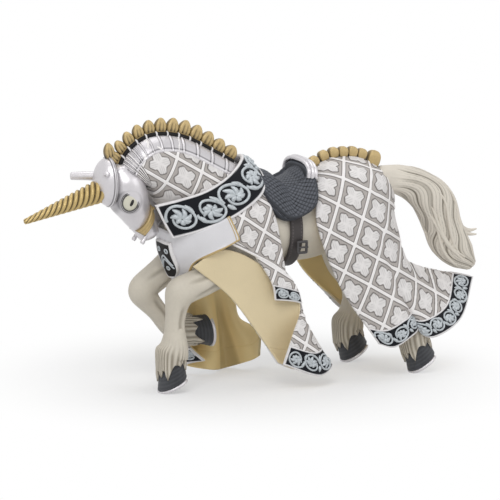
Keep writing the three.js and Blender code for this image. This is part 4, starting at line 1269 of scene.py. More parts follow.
@dataclass
class Leg(Assembly):
    """One leg with its hoof, shoe and the feather of hair over the hoof."""

    name: str
    stations: list[tuple[float, ...]]
    hoof: HoofFrame
    pastern: float = 0.7  # height of the leg's end above the hoof
    fetlock: Span = (4.9, 4.6)  # half depth and half width there
    heel: float = 0.62  # half the shoe's open angle
    web: float = 2.4  # width of the shoe's iron
    overhang: float = 0.25  # of the shoe past the wall
    tufts: int = 9
    feather: float = 9.0  # length of the feather

    ROUNDING = 0.3  # of the shoe's edges
    HAIR_ROUNDING = 0.4

    def build(self) -> None:
        """Make the leg's four pieces."""
        shop = self.shop
        ankle = (*self.hoof.coronet(self.pastern), *self.fetlock)
        limb = Limb(np.array([*self.stations, ankle]))
        shop.mould(f"{self.name}_leg", limb.loft(130, 56, 0.3, self.muscle), COAT_PAINT)
        shop.mould(f"{self.name}_hoof", self.wall(), HOOF_PAINT)
        shop.mould(f"{self.name}_shoe", self.shoe(), SILVER_PAINT)
        shop.fit(f"{self.name}_feather", self.fringe(limb), COAT_PAINT)

    def muscle(self, share: Array, turn: Array) -> Painted:
        """Muscles, knee or hock, sinews and the hair over the fetlock.

        Args:
            share: shares of the leg.
            turn: angles round it.

        Returns:
            Height and paint.
        """
        knee = 3 / len(self.stations)
        aside = np.minimum(turn, FULL_TURN - turn)
        point = aside if "fore" in self.name else math.pi - aside
        joint = ridge(share, knee, 0.05)
        cap = joint * ridge(point, 0, 0.8)
        knuckle = joint * np.abs(np.sin(turn)) ** 6
        cannon = ease(knee + 0.04, knee + 0.12, share) * ease(0.95, 0.8, share)
        hollow = cannon * ridge(aside, 1.9, 0.28)
        upper = ease(0.08, 0.22, share) * ease(knee - 0.02, knee - 0.12, share)
        above = knee - share
        cleft = upper * (ridge(aside - 1.8 * above, 0.9, 0.17) + ridge(aside + 1.2 * above, 2.3, 0.15))
        low = ease(0.8, 0.97, share)
        lines = 0.5 + 0.5 * np.sin(12 * turn + 2.4 * np.sin(9 * share) + 1.5 * np.sin(3 * turn))
        height = 1.3 * cap + 0.5 * knuckle - 0.6 * hollow - 0.6 * cleft + 0.3 * low * lines
        # Painted highlight on the knee or hock cap; painted shade in the groove down the cannon and in the
        # clefts between muscles. The hair lines are painted strands.
        paint = 0.8 + 0.2 * cap - 0.45 * hollow - 0.4 * cleft - 0.5 * low * (1 - lines)
        return height, np.clip(paint, 0, 1)

    def wall(self) -> Shape:
        """The hoof wall with its growth rings.

        Returns:
            The shape.
        """
        share = np.concatenate([[0, 0.01], np.linspace(0.04, 0.97, 22), [1.0]])[:, None]
        turns = around(56)[None]
        growth = np.sin(38 * share)
        swell = 1 + 0.006 * growth - 0.05 * ease(0.02, 0, share) - 0.1 * ease(0.94, 1, share)
        rings = self.hoof.outline(share, turns, swell)
        raised = np.clip(0.3 + 0.12 * growth + 0.3 * np.cos(turns) ** 2, 0, 1)
        return tube(rings, raised, self.hoof.coronet(-self.hoof.height), self.hoof.coronet(0))

    def shoe(self) -> Shape:
        """A flat open ring of iron under the wall.

        Returns:
            The shape.
        """
        hoof = self.hoof
        half = np.array([hoof.length, hoof.width]) / 2 + self.overhang
        across, along = edged(self.web, 0.4, self.ROUNDING), even(64)
        sweep = FULL_TURN - 2 * self.heel
        turns = self.heel + sweep * along
        edge = rolled(edge_gap(across, self.web, along, sweep * half[0]), self.ROUNDING)
        x, y = ((r - self.web * across[:, None]) * way(turns) for r, way in zip(half, (np.cos, np.sin)))
        middle = -(hoof.gap + hoof.iron) / 2
        top = hoof.place(x, y, middle + (hoof.iron + hoof.gap) / 2 * edge)
        return slab(top, hoof.place(x, y, middle - hoof.iron / 2 * edge), 1.0)

    def fringe(self, limb: Limb) -> Shape:
        """The hair over the hoof, one closed fringe that ends in ragged points.

        Args:
            limb: the leg.

        Returns:
            The shape.
        """
        turns = around(264)
        saw = self.tufts * turns / FULL_TURN + 0.22 * np.sin(3 * turns + 1)
        tooth = np.abs(2 * (saw % 1) - 1) ** 0.8
        long = 0.42 + 0.2 * np.sin(2.7 * np.floor(saw) + 0.7)
        low = 0.95 - long * (1 - tooth)
        strand = 0.5 + 0.5 * np.cos(FULL_TURN * 3 * saw)
        fall = edged(self.feather, 0.3, self.HAIR_ROUNDING)
        core, skin = (smooth_run(self.guides(limb, turns, low, proud), fall) for proud in (0.0, 1.0))
        edge = rolled(np.minimum(fall, 1 - fall) * self.feather, self.HAIR_ROUNDING)[:, None]
        relief = edge * (0.6 + 0.7 * strand * ease(0.05, 0.4, fall)[:, None])
        paint = 0.8 - 0.6 * (1 - strand) * ease(0.1, 0.5, fall)[:, None]
        outer = core + (skin - core) * relief[..., None]
        return slab(outer, core - (skin - core) * 0.8 * edge[..., None], paint, ring=True)

    def guides(self, limb: Limb, turns: Array, low: Array, proud: float) -> Array:
        """Guide rows of the feather, from the fetlock to its points.

        Args:
            limb: the leg.
            turns: angles round the leg.
            low: share of the hoof where each strand ends.
            proud: how far it stands out.

        Returns:
            The rows.
        """
        leg = [limb.skin(share, turns, grow + 0.5 * proud)
               for share, grow in ((0.72, -0.5), (0.84, 0.2), (0.95, 0.8))]
        hoof = [self.hoof.outline(share, math.pi - turns, swell + 0.09 * proud)
                for share, swell in ((1.0, 1.2), ((1 + low) / 2, 1.16), (low, 1.08))]
        return np.array(leg + hoof)


@dataclass
class Torso(Assembly):
    """Trunk, neck core and tail."""

    trunk: Limb
    neck: Limb
    tail: Limb
    loose: int = 16  # locks that stand clear of the tail
    lock_radius: float = 0.62
    flick_radius: float = 1.3

    # Root, tip and sag of each flick on the tail's back edge.
    FLICKS = (
        ((80.5, 0.0, 50.5), (89.4, 0.4, 47.2), 1.6), ((80.5, 0.4, 50.5), (88.9, -0.6, 45.4), 1.6),
        ((80.0, -0.6, 41.0), (88.6, 0.9, 36.2), 0.64), ((80.0, -1.6, 41.0), (87.8, -1.2, 34.4), 0.64),
    )

    def build(self) -> None:
        """Make the body's pieces."""
        shop = self.shop
        shop.mould("trunk", self.trunk.loft(120, 72), COAT_PAINT)
        shop.mould("neck", self.neck.loft(60, 48), COAT_PAINT)
        shop.mould("tail", self.tail.loft(240, 150, relief=self.locks), HAIR_PAINT)
        shop.strands("tail_locks", self.loose_hair(), HAIR_PAINT, sides=10)

    @staticmethod
    def locks(share: Array, turn: Array) -> Painted:
        """Long grooves that wind down the tail.

        Args:
            share: shares of the tail.
            turn: angles round it.

        Returns:
            Height and paint.
        """
        wound = turn + 0.5 * np.sin(5.2 * share + 0.6) + 0.16 * np.sin(17 * share + 2 * turn) - 0.8 * share
        broad = np.abs(np.sin(4.5 * wound)) ** 0.7
        fine = np.abs(np.sin(15.5 * wound + 1.3 * np.sin(6 * share))) ** 0.7
        full = ease(0.02, 0.22, share)
        height = full * (0.62 * (broad - 0.6) + 0.3 * (fine - 0.6))
        return height, 1 - full * (0.6 * (1 - broad) + 0.6 * (1 - fine))

    def loose_hair(self) -> list[Strand]:
        """Locks that stand clear of the tail, and the flicks on its back edge.

        Returns:
            Their strands.
        """
        steps = even(22)
        lift = 0.35 * np.sin(np.pi * steps) - 0.1
        swell = np.sin(np.pi * (0.03 + 0.94 * steps)) ** 0.6
        found = []
        for k in range(self.loose):
            start = 0.3 + 0.035 * (k % 9)
            share = np.linspace(start, min(start + 0.42, 1.0), len(steps))
            turn = FULL_TURN * k / self.loose + 0.5 * np.sin(4 * share + k)
            found.append(Strand(self.tail.skin(share, turn, lift), self.lock_radius * swell + 0.05))
        for root, tip, sag in self.FLICKS:
            path = np.linspace(root, tip, 12)
            path[:, 2] -= sag * np.sin(np.pi * even(12))
            found.append(Strand.tapered(path, self.flick_radius, 0.2))
        return found


@dataclass
class Head(Assembly):
    """Armoured head: shaffron, brow plate, horn, ears, eyes, cheek straps and bit shanks."""

    form: Limb
    brow: Place = (-55.6, 0, 76)
    brow_radii: Place = (5.7, 7.2, 8.8)
    brow_back: float = 0.2  # where the dome is cut behind its middle
    temple: Place = (-49.6, 6.6, 76.4)
    temple_reach: float = 5.2
    horn_root: Place = (-57.0, 0, 73.6)
    horn_length: float = 32.8
    horn_base: float = 4.6
    horn_tip: float = 1.0
    horn_pitch: float = 16.8
    horn_turns: float = 3.0
    horn_ribs: int = 5
    horn_collar: float = 0.05  # share of the horn's length
    eye_radius: float = 3.05
    eye_bulge: float = 1.05
    eye_share: float = 0.375
    strap_length: float = 11.0
    strap_width: float = 3.2
    strap_line: tuple[Place, ...] = ((-39.6, 0, 66.2), (-42.4, 0, 61.3), (-45.2, 0, 57))
    shank_top: Place = (-42, 3.6, 57.5)
    shank_length: float = 5.0
    shank_radius: float = 0.7

    # Root, tip and radius of each ear.
    EARS = {
        Side.NEAR: ((-57, -3.6, 79), (-59.6, -6, 80), 1.2),
        Side.FAR: ((-58.5, 4, 77.6), (-65.7, 10, 77), 1.7),
    }
    SHANK_SWELL = (0.9, 1, 1, 1, 1, 1, 1.25, 0.9)

    def build(self) -> None:
        """Make the head's pieces."""
        shop = self.shop
        shop.mould("head", self.form.loft(160, 96, relief=self.temples), SILVER_PAINT)
        shop.mould("brow_plate", self.brow_dome(), SILVER_PAINT)
        shop.mould("horn", self.horn(), HORN_PAINT)
        for side in Side:
            label = side.label
            shop.mould(f"{label}_ear_cup", self.ear(*self.EARS[side]), SILVER_PAINT)
            shop.mould(f"{label}_eye", self.eye(side), EYE_PAINT)
            shop.strands(f"{label}_eye_lid", self.lid(side), LID_PAINT)
            shop.strands(f"{label}_pupil", self.pupil(side), BLACK_LINE)
            shop.mould(f"{label}_cheek_strap", self.strap(side), GOLD_PAINT)
            shank = f"{label}_bit_shank"
            shop.strands(f"{shank}_moulding", self.shank(side), SILVER_PAINT, 12, shank)

    def temples(self, share: Array, turn: Array) -> Painted:
        """The face plate, full at the temples and raised round the eyes.

        Args:
            share: shares of the head.
            turn: angles round it.

        Returns:
            Height and paint.
        """
        points = self.form.skin(share, turn)
        mirrored = grid(points[..., 0], np.abs(points[..., 1]), points[..., 2])
        temple = ridge(np.linalg.norm(mirrored - np.array(self.temple), axis=-1), 0, self.temple_reach)
        socket = np.linalg.norm(mirrored - self.eye_spot(Side.FAR)[0], axis=-1) - self.eye_radius
        lid, moat = ridge(socket, 0.5, 0.7), ridge(socket, 1.4, 0.5)
        jaw = ease(0.5, 0.62, share) * ease(1.0, 0.8, share) * 0.25 * np.cos(2 * turn)
        brim = ridge(points[..., 0], self.brow[0] + 1.4, 1.1)
        # Painted highlight on the temples; painted shade in a ring round each eye, on its lid and along the
        # brow plate's back edge.
        paint = 0.8 + 0.2 * temple - 0.25 * moat - 0.12 * lid - 0.35 * brim
        return 0.9 * temple + 0.12 * lid + jaw, np.clip(paint, 0, 1)

    def brow_dome(self) -> Shape:
        """The domed brow plate with a double rim.

        Returns:
            The shape.
        """
        middle, radii = np.array(self.brow), self.brow_radii
        stop = math.acos(-self.brow_back / radii[0])
        angle = np.concatenate([np.linspace(0.03, stop - 0.02, 70), [stop]])[:, None]
        turns = around(80)[None]
        from_rim = (stop - angle) * 7.6
        grow = 0.4 * (ease(1.5, 1.2, from_rim) - ease(0.35, 0.15, from_rim) * 0.4)
        line = ridge(from_rim, 1.6, 0.3) + ridge(from_rim, 0.7, 0.2)
        x = -(radii[0] + grow) * np.cos(angle)
        y = (radii[1] + grow) * np.sin(angle) * np.sin(turns)
        z = (radii[2] + grow) * np.sin(angle) * np.cos(turns)
        front, back = (middle + np.array([reach, 0, 0]) for reach in (-radii[0], self.brow_back))
        return tube(grid(x, y, z) + middle, np.clip(1 - 0.95 * line, 0, 1), front, back)

    def horn(self) -> Shape:
        """The spiral horn with a rolled collar at its root.

        Returns:
            The shape.
        """
        share = np.concatenate([np.linspace(0, 0.06, 16)[:-1], np.linspace(0.06, 1, 260)])[:, None]
        turns = around(72)[None]
        wound = turns + FULL_TURN * self.horn_turns * share
        rib = np.abs(np.cos(self.horn_ribs / 2 * wound)) ** 0.8
        collar = ease(self.horn_collar, 0.7 * self.horn_collar, share)
        radius = self.horn_base + (self.horn_tip - self.horn_base) * share
        roll = 0.5 * collar * np.sin(np.pi * np.clip(share / self.horn_collar, 0, 1))
        reach = radius * (1 - 0.24 * (1 - rib) * (1 - collar)) + roll
        root = np.array(self.horn_root)
        along = -self.horn_length * share
        rings = root + tipped(along, reach * np.sin(turns), reach * np.cos(turns), self.horn_pitch)
        tip = root + tipped(-self.horn_length - 0.4, 0, 0, self.horn_pitch)
        # Dark grooves between the ribs: painted shade in the grooves.
        return tube(rings, np.clip(1.3 * rib - 0.22 + collar, 0, 1), root, tip)

    def ear(self, root: Place, tip: Place, radius: float) -> Shape:
        """A short plated ear, hollowed at the front.

        Args:
            root: middle of its root.
            tip: middle of its tip.
            radius: its radius.

        Returns:
            The shape.
        """
        sizes = radius * np.array([[0.95, 0.95], [1.0, 1.0], [0.9, 0.9]])
        form = Limb(np.concatenate([np.linspace(root, tip, 3), sizes], axis=1))
        return form.loft(30, 32, 0.3, self.ear_hollow)

    @staticmethod
    def ear_hollow(share: Array, turn: Array) -> Painted:
        """Height and paint of the hollow down an ear's front."""
        deep = ease(0.15, 0.5, share)
        return -0.45 * ridge(turn, math.pi, 0.6) * deep, 1 - 0.7 * ridge(turn, math.pi, 0.5) * deep

    def eye_spot(self, side: Side) -> tuple[Array, Array]:
        """Where an eye lies.

        Args:
            side: which eye.

        Returns:
            Its middle and where it faces.
        """
        share = np.array([self.eye_share])
        centre, _, across, upright = (part[0] for part in self.form.frame(share))
        out = side.value * across
        return centre + 2.6 * upright + (self.form.sizes(share)[0, 1] - 0.5) * out, out

    def eye(self, side: Side) -> Shape:
        """The eyeball, flat enough for its lids.

        Args:
            side: which eye.

        Returns:
            The shape.
        """
        middle, _ = self.eye_spot(side)
        angle = np.linspace(0.05, math.pi - 0.05, 28)[:, None]
        turns = around(40)[None]
        wide = self.eye_radius * np.sin(angle)
        rings = grid(wide * np.cos(turns), self.eye_bulge * np.cos(angle), wide * np.sin(turns)) + middle
        pole = self.eye_bulge * SIDEWAYS
        return tube(rings, 1.0, middle + pole, middle - pole)

    def lid(self, side: Side) -> list[Strand]:
        """The dark line of the lids round an eye.

        Args:
            side: which eye.

        Returns:
            An inner and an outer line.
        """
        middle, out = self.eye_spot(side)
        turns = np.linspace(0, FULL_TURN, 41)
        ring = grid(np.cos(turns), 0, np.sin(turns))
        return [Strand(middle + 0.45 * out + (self.eye_radius + past) * ring, radius)
                for past, radius in ((0, 0.24), (0.55, 0.13))]

    def pupil(self, side: Side) -> list[Strand]:
        """The leaning slit of an eye.

        Args:
            side: which eye.

        Returns:
            Its one strand.
        """
        middle, out = self.eye_spot(side)
        slit = np.linspace(-1, 1, 9)[:, None]
        path = middle + out * (1.0 - 0.3 * slit**2) + slit * np.array([0.6, 0, 1.15]) + np.array([0.4, 0, 0])
        return [Strand(path, 0.12 + 0.45 * np.sqrt(1 - 0.98 * slit[:, 0] ** 2))]

    def strap(self, side: Side) -> Shape:
        """The gold cheek strap with three bands.

        Args:
            side: which side of the head.

        Returns:
            The shape.
        """
        line = np.array(self.strap_line)
        along, share = edged(self.strap_length, 0.35), edged(self.strap_width, 0.25)
        across = unit(line[2] - line[0])[[2, 0]] * np.array([1, -1])
        run = smooth_run(line, along)[:, None, [0, 2]]
        flat = run + across * ((share - 0.5) * self.strap_width)[None, :, None]
        gap = edge_gap(along, self.strap_length, share, self.strap_width)
        tile = np.abs(np.sin(3 * np.pi * share))[None] ** 0.5
        edge = rolled(gap)[..., None]
        core = self.form.side_points(flat.reshape(-1, 2), side, 0.4).reshape(*gap.shape, 3)
        out = side.value * SIDEWAYS
        outer = core + out * edge * (0.9 + 0.15 * tile)[..., None]
        return slab(outer, core - out * edge * 0.8, 0.35 + 0.65 * tile * ease(0, 0.5, gap))

    def shank(self, side: Side) -> list[Strand]:
        """A bit shank that hangs from the end of the strap.

        Args:
            side: which side of the head.

        Returns:
            Its one strand.
        """
        top = np.array(self.shank_top) * np.array([1, side.value, 1])
        down = np.linspace(0, self.shank_length, len(self.SHANK_SWELL))[:, None]
        path = top + down * unit(np.array([-0.55, 0, -0.85]))
        return [Strand(path, self.shank_radius * np.array(self.SHANK_SWELL))]


@dataclass
class NeckArmour(Assembly):
    """Crinet plates, black mane strip, gold mane lobes and the quilted neck cloth."""

    neck: Limb
    quilt: Lattice = Lattice((-33.2, 84.2), (9.2, -5.6), (-4.2, -8.4))
    cloth_start: float = 0.03
    cloth_stop: float = 0.97
    cloth_length: float = 62.0
    pleat: float = 2.4  # width of a throat pleat
    start: float = 0.1
    stop: float = 0.985
    setback: float = 0.03  # of the strip and the lobes after the crinet
    crinet_length: float = 66.0
    crinet_width: float = 18.0
    drop: float = 5.2  # fall of the crinet below the crest
    plates: int = 12
    strip_length: float = 64.0
    strip_width: float = 3.8  # of its mesh
    strip_half: float = 2.7
    lobes: int = 12
    lobe_height: float = 5.3
    widening: float = 1.5  # lobe at the withers over lobe at the poll
    front_lobe: Place = (-55.4, 0, 84.8)
    front_size: Place = (2.0, 1.7, 5.3)
    crest_length: float = 62.0
    crest_width: float = 3.4

    def build(self) -> None:
        """Make the neck's pieces."""
        shop = self.shop
        shop.mould("neck_cloth", self.cloth(), QUILT_PAINT)
        shop.mould("crinet", self.crinet(), SILVER_PAINT)
        shop.mould("mane_strip", self.strip(), BLACK_PAINT)
        shop.mould("mane_crest", self.crest_wall(), GOLD_PAINT)
        shop.lobes("mane_lobes", self.crest_lobes(), GOLD_PAINT, 2.4)

    def cloth(self) -> Shape:
        """The cloth round the neck, quilted and pleated at the throat.

        Returns:
            The shape.
        """
        shares = np.linspace(self.cloth_start, self.cloth_stop, 192)[:, None]
        turns = around(250)[None]
        points = self.neck.skin(shares, turns, 1.5)
        height, raised = self.quilt.pattern(points[..., 0], points[..., 2])
        pleat = 0.5 + 0.5 * np.cos(FULL_TURN * shares * self.cloth_length / self.pleat)
        throat = ease(0.775, 0.8, shares)
        height = height * (1 - throat) + 0.4 * pleat * throat
        raised = raised * (1 - throat) + (0.3 + 0.7 * pleat) * throat
        gap = np.minimum(shares - self.cloth_start, self.cloth_stop - shares) * self.cloth_length
        return self.neck.cover(shares, turns, gap, 0.3, 1.2 + height, 0.5, raised, ring=True)

    def crinet(self) -> Shape:
        """Overlapping neck plates, the front ones finely fluted.

        Returns:
            The plates' shape.
        """
        place, wide = edged(self.crinet_length, 0.22), edged(self.crinet_width, 0.3)
        gap = edge_gap(place, self.crinet_length, wide, self.crinet_width)
        shares = self.start + (self.stop - self.start) * place
        reach = np.arccos(1 - self.drop / (self.neck.sizes(shares)[:, :1] + 1.3))
        run = place[:, None]
        count = run * self.plates
        joint = np.abs(count - np.round(count)) * self.crinet_length / self.plates
        bead = ease(0.42, 0.22, joint)
        fluting = 0.5 + 0.5 * np.cos(run * self.crinet_length * FULL_TURN / 0.95)
        flute = ease(0.68, 0.72, run) * fluting
        rim = ease(0.9, 0.6, gap)
        height = 0.2 * bead + 0.08 * (count % 1) - 0.1 * flute + 0.25 * rim
        dark = 0.5 * ridge(joint, 0.6, 0.2) + 0.35 * flute + 0.5 * ridge(gap, 1.15, 0.22)
        raised = np.clip(0.64 + 0.36 * np.maximum(bead, rim) - dark, 0, 1)
        return self.neck.cover(shares[:, None], reach * (2 * wide - 1), gap, 1.1, 0.7 + height, 0.6, raised)

    def bays(self) -> Array:
        """Shares of the crest where its lobes meet."""
        widths = np.linspace(self.widening, 1, self.lobes)
        return np.concatenate([[0], np.cumsum(widths)]) / widths.sum()

    def crest_line(self, shares: Array) -> Array:
        """The feet of the lobes along the top of the neck."""
        centre, _, _, upright = self.neck.frame(shares)
        return centre + upright * (self.neck.sizes(shares)[:, :1] + 2.5)

    def crest_shares(self, place: Array) -> Array:
        """Shares of the neck for shares of the crest."""
        first = self.start + self.setback
        return first + (self.stop - first) * place

    def crest_turns(self, shares: Array, across: Array) -> Array:
        """Angles round the neck for distances across the crest."""
        wide = self.neck.sizes(shares)[:, 1:] + 1.5
        return np.arcsin(np.clip(across / wide, -0.98, 0.98))

    def strip(self) -> Shape:
        """The black strip under the lobes, with a pale line at each.

        Returns:
            The shape.
        """
        place, wide = edged(self.strip_length, 0.2), edged(self.strip_width, 0.3)
        gap = edge_gap(place, self.strip_length, wide, self.strip_width)
        shares = self.crest_shares(place)
        travelled = run_lengths(self.crest_line(shares), 0)
        joint = np.abs(travelled[:, None] - self.bays() * travelled[-1]).min(axis=1)[:, None]
        pale = ease(0.36, 0.16, joint)
        turns = self.crest_turns(shares, (2 * wide - 1) * self.strip_half)
        return self.neck.cover(shares[:, None], turns, gap, 1.3, 1.5 + 0.15 * pale, 0.4, pale)

    def crest_wall(self) -> Shape:
        """The low gold wall that the lobes grow from.

        Returns:
            The shape.
        """
        place, wide = edged(self.crest_length, 0.3), edged(self.crest_width, 0.3)
        gap = edge_gap(place, self.crest_length, wide, self.crest_width)
        shares = self.crest_shares(place)
        notch = np.abs(np.sin(np.pi * place * self.lobes))[:, None] ** 0.5
        turns = self.crest_turns(shares, (2 * wide - 1) * self.crest_width / 2)
        raised = 0.1 + 0.4 * notch * rolled(gap)
        return self.neck.cover(shares[:, None], turns, gap, 2.4, 0.55, 0.2, raised)

    def crest_lobes(self) -> list[Lobe]:
        """The gold lobes along the mane, and one at its front.

        Returns:
            Where they stand.
        """
        bays = self.bays()
        place = (bays[1:] + bays[:-1]) / 2
        fine = self.crest_shares(even(300))
        travelled = run_lengths(self.crest_line(fine), 0)
        shares = np.interp(place * travelled[-1], travelled, fine)
        _, tangent, _, upright = self.neck.frame(shares)
        runs = np.diff(bays) * travelled[-1]
        swell = np.maximum(0.86, 0.62 + 0.38 * np.sin(np.pi * np.minimum(1, place + 0.1)))
        found = [
            Lobe(foot, way, up, (0.53 * run, self.crest_width * 0.5, self.lobe_height * tall))
            for foot, way, up, run, tall in zip(self.crest_line(shares), tangent, upright, runs, swell)
        ]
        up = unit(np.array([-0.15, 0, 1.0]))
        found.append(Lobe(np.array(self.front_lobe), np.cross(SIDEWAYS, up), up, self.front_size))
        return found


@dataclass
class Collar(Assembly):
    """Scrolled collar band, white bib with gold piping, and a plain heraldic badge."""

    band: Net
    bib: Net
    scroll: Vine = Vine(11, 0.6, 1.35)
    badge_width: float = 8.4
    badge_height: float = 14.0
    badge_middle: float = 0.466  # share of the bib's width
    badge_top: float = 3.4  # distance below the bib's upper edge
    bib_width: float = 56.0  # the bib laid flat
    bib_fall: float = 21.0

    # Inset, lift and radius of each cord of the piping.
    CORDS = ((0.004, 0.1, 0.5), (0.03, 0.62, 0.2))
    CHARGE_LIFT = 1.75
    ROUNDELS = ((-1.9, 3), (1.9, 3), (0, 9.6))

    def build(self) -> None:
        """Make the collar's pieces."""
        shop = self.shop
        shop.mould("collar_band", self.band.sheet(Border(0.85, 0.3)), BORDER_PAINT)
        shop.strands("collar_scrolls", self.scroll.strands(self.band, (0, 1), 0.62), SCROLL_PAINT)
        shop.mould("breast_bib", self.bib.sheet(self.soft_fold, step=0.6), WHITE_PAINT)
        shop.strands("bib_piping", self.piping(), GOLD_PAINT)
        shop.mould("breast_badge", self.badge(), BLACK_PAINT)
        shop.strands("badge_charges", self.charges(), SCROLL_PAINT)

    @staticmethod
    def soft_fold(spot: Spot) -> Painted:
        """A slight roll along the bib's edge."""
        return 0.12 * ease(1.8, 0.8, spot.rim), np.ones(spot.rim.shape)

    def piping(self) -> list[Strand]:
        """Gold cord round the sides and foot of the bib.

        Returns:
            The cords.
        """
        steps = even(60)
        found = []
        for inset, lift, radius in self.CORDS:
            lines = (grid(inset / 2, steps), grid(1 - inset / 2, steps), grid(steps, 1 - inset))
            found += [Strand(self.bib.trace(line, (0, 1), lift), radius) for line in lines]
        return found

    def on_badge(self, flat: Array, lift: float) -> Array:
        """Points of the badge's face, from millimetres across and down it."""
        u = self.badge_middle + flat[:, 0] / self.bib_width
        return self.bib.above(u, (self.badge_top + flat[:, 1]) / self.bib_fall, lift)

    def half_width(self, down: Array) -> Array:
        """Half width of the shield at a distance below its top."""
        share = np.clip((down / self.badge_height - 0.5) / 0.5, 0, 1)
        return self.badge_width / 2 * np.sqrt(np.clip(1 - share**2.2, 0, 1))

    def badge(self) -> Shape:
        """The shield with a pale rim.

        Returns:
            The shape.
        """
        rows, wide = edged(self.badge_height, 0.3) * 0.998, edged(self.badge_width, 0.3)
        down = rows[:, None] * self.badge_height
        half = self.half_width(down)
        gap = edge_gap(rows, self.badge_height, wide, 2 * half)
        flat = grid(half * (2 * wide - 1), down).reshape(-1, 2)
        core, skin = (self.on_badge(flat, lift).reshape(*gap.shape, 3) for lift in (0.9, 1.9))
        rim = ease(0.75, 0.5, gap)
        out = (skin - core) * rolled(gap)[..., None]
        return slab(core + out * (0.8 + 0.2 * rim)[..., None], core - out * 0.8, rim)

    def charges(self) -> list[Strand]:
        """A plain chevron between three roundels.

        Returns:
            Their strands.
        """
        chevron = np.array([(-2.7, 8.2), (0, 4.8), (2.7, 8.2)])
        lines = [smooth_run(chevron + np.array([0, low]), even(15)) for low in (0, 1.3)]
        turns = np.linspace(0, FULL_TURN, 19)
        rings = [np.array(spot) + 0.62 * grid(np.cos(turns), np.sin(turns)) for spot in self.ROUNDELS]
        radii = [0.34] * len(lines) + [0.3] * len(rings)
        return [Strand(self.on_badge(line, self.CHARGE_LIFT), radius)
                for line, radius in zip(lines + rings, radii)]


@dataclass
class FrontCloth(Assembly):
    """The front of the caparison on one side: quilted panel, flying skirt and its scrolled hem."""

    side: Side
    panel: Net
    skirt: Net
    lining: Finish
    wash: float  # how dark the painted shade in the lining's folds is
    fold: Net | None = None
    hem_share: float = 0.2
    fold_hem_share: float = 0.45
    quilt: Lattice = Lattice((-10.7, 62.2), (7.9, -5.5), (-3.8, -8.3))
    border: Border = Border(0.55)
    hem_out: float = 0.75
    scroll: Vine = Vine(7.2, 0.4, 0.85)
    fold_scroll: Vine = Vine(5.2, 0.34, 0.8)
    scroll_lift: float = 0.74

    def build(self) -> None:
        """Make the front cloth's pieces."""
        shop = self.shop
        label, band = self.side.label, (1 - self.hem_share, 1)
        shop.mould(f"{label}_front_panel", self.panel.sheet(Corded(self.quilt)), QUILT_PAINT)
        skirt = self.skirt.sheet(self.quilt, (0, band[0] + 0.012), lined=True, wash=self.wash)
        shop.mould(f"{label}_front_skirt", skirt, QUILT_PAINT, self.lining)
        hem = self.skirt.sheet(self.border, band, self.hem_out, 0.3, lined=True, wash=self.wash)
        shop.mould(f"{label}_front_skirt_hem", hem, BORDER_PAINT, self.lining)
        scrolls = self.scroll.strands(self.skirt, band, self.scroll_lift)
        shop.strands(f"{label}_skirt_scrolls", scrolls, SCROLL_PAINT)
        if self.fold:
            self.build_fold(self.fold)

    def build_fold(self, fold: Net) -> None:
        """Make the fold that falls over the skirt.

        Args:
            fold: the fold's net.
        """
        shop, label, band = self.shop, self.side.label, (1 - self.fold_hem_share, 1)
        shop.mould(f"{label}_front_fold", fold.sheet(self.quilt, (0, band[0] + 0.02)), QUILT_PAINT)
        hem = fold.sheet(self.border, band, self.hem_out, 0.25)
        shop.mould(f"{label}_front_fold_hem", hem, BORDER_PAINT)
        scrolls = self.fold_scroll.strands(fold, band, self.scroll_lift)
        shop.strands(f"{label}_fold_scrolls", scrolls, SCROLL_PAINT)


@dataclass
class RearCloth(Assembly):
    """The rear of the caparison on one side, quilted down to its scrolled hem."""

    side: Side
    net: Net
    hem_share: float = 0.076
    quilt: Lattice = Lattice((35.6, 58.4), (8.8, -5.4), (-3.9, -9.3))
    border: Border = Border(0.6)
    hem_out: float = 0.8
    scroll: Vine = Vine(6.4, 0.4, 0.8)

    def build(self) -> None:
        """Make the rear cloth's pieces."""
        shop = self.shop
        label, band = self.side.label, (1 - self.hem_share, 1)
        # The rear cloth's lining takes the lighter lining paint: painted bounce light in the shade under the
        # cloth.
        cloth = self.net.sheet(self.quilt, (0, band[0] + 0.006), step=0.37, lined=True)
        shop.mould(f"{label}_rear_cloth", cloth, QUILT_PAINT, BOUNCE_LIT_LINING_PAINT)
        hem = self.net.sheet(self.border, band, self.hem_out, 0.3, lined=True)
        shop.mould(f"{label}_rear_hem", hem, BORDER_PAINT, LINING_PAINT)
        scrolls = self.scroll.strands(self.net, band, self.hem_out)
        shop.strands(f"{label}_rear_scrolls", scrolls, SCROLL_PAINT)


@dataclass
class CroupCrest(Assembly):
    """Gold lobes along the ridge of the rear cloth, the last one largest."""

    cloth: Net
    lobes: int = 6
    height: float = 3.6
    width: float = 3.4
    start: float = 23.4
    stop: float = 44.6
    blunt: float = 7
    end_size: Place = (2.5, 1.9, 6.0)

    def build(self) -> None:
        """Make the crest."""
        shop = self.shop
        line = self.cloth.at(even(200), np.array([0.0]))[0]
        half = (self.stop - self.start) / self.lobes / 2
        x = self.start + half * (2 * np.arange(self.lobes) + 1)
        feet = grid(x, 0, np.interp(x, line[:, 0], line[:, 2]) + 0.3)
        along = unit(np.gradient(feet, axis=0))
        size = (half * 1.04, self.width / 2, self.height)
        lobes = [Lobe(foot, way, np.cross(way, SIDEWAYS), size) for foot, way in zip(feet, along)]
        way = unit(np.array([1, 0, -0.28]))
        low = np.interp(self.stop + 3, line[:, 0], line[:, 2]) - 0.6
        foot = np.array([self.stop + self.end_size[0], 0, low])
        lobes.append(Lobe(foot, way, np.cross(way, SIDEWAYS), self.end_size))
        shop.lobes("croup_crest_moulding", lobes, GOLD_PAINT, self.blunt, "croup_crest")


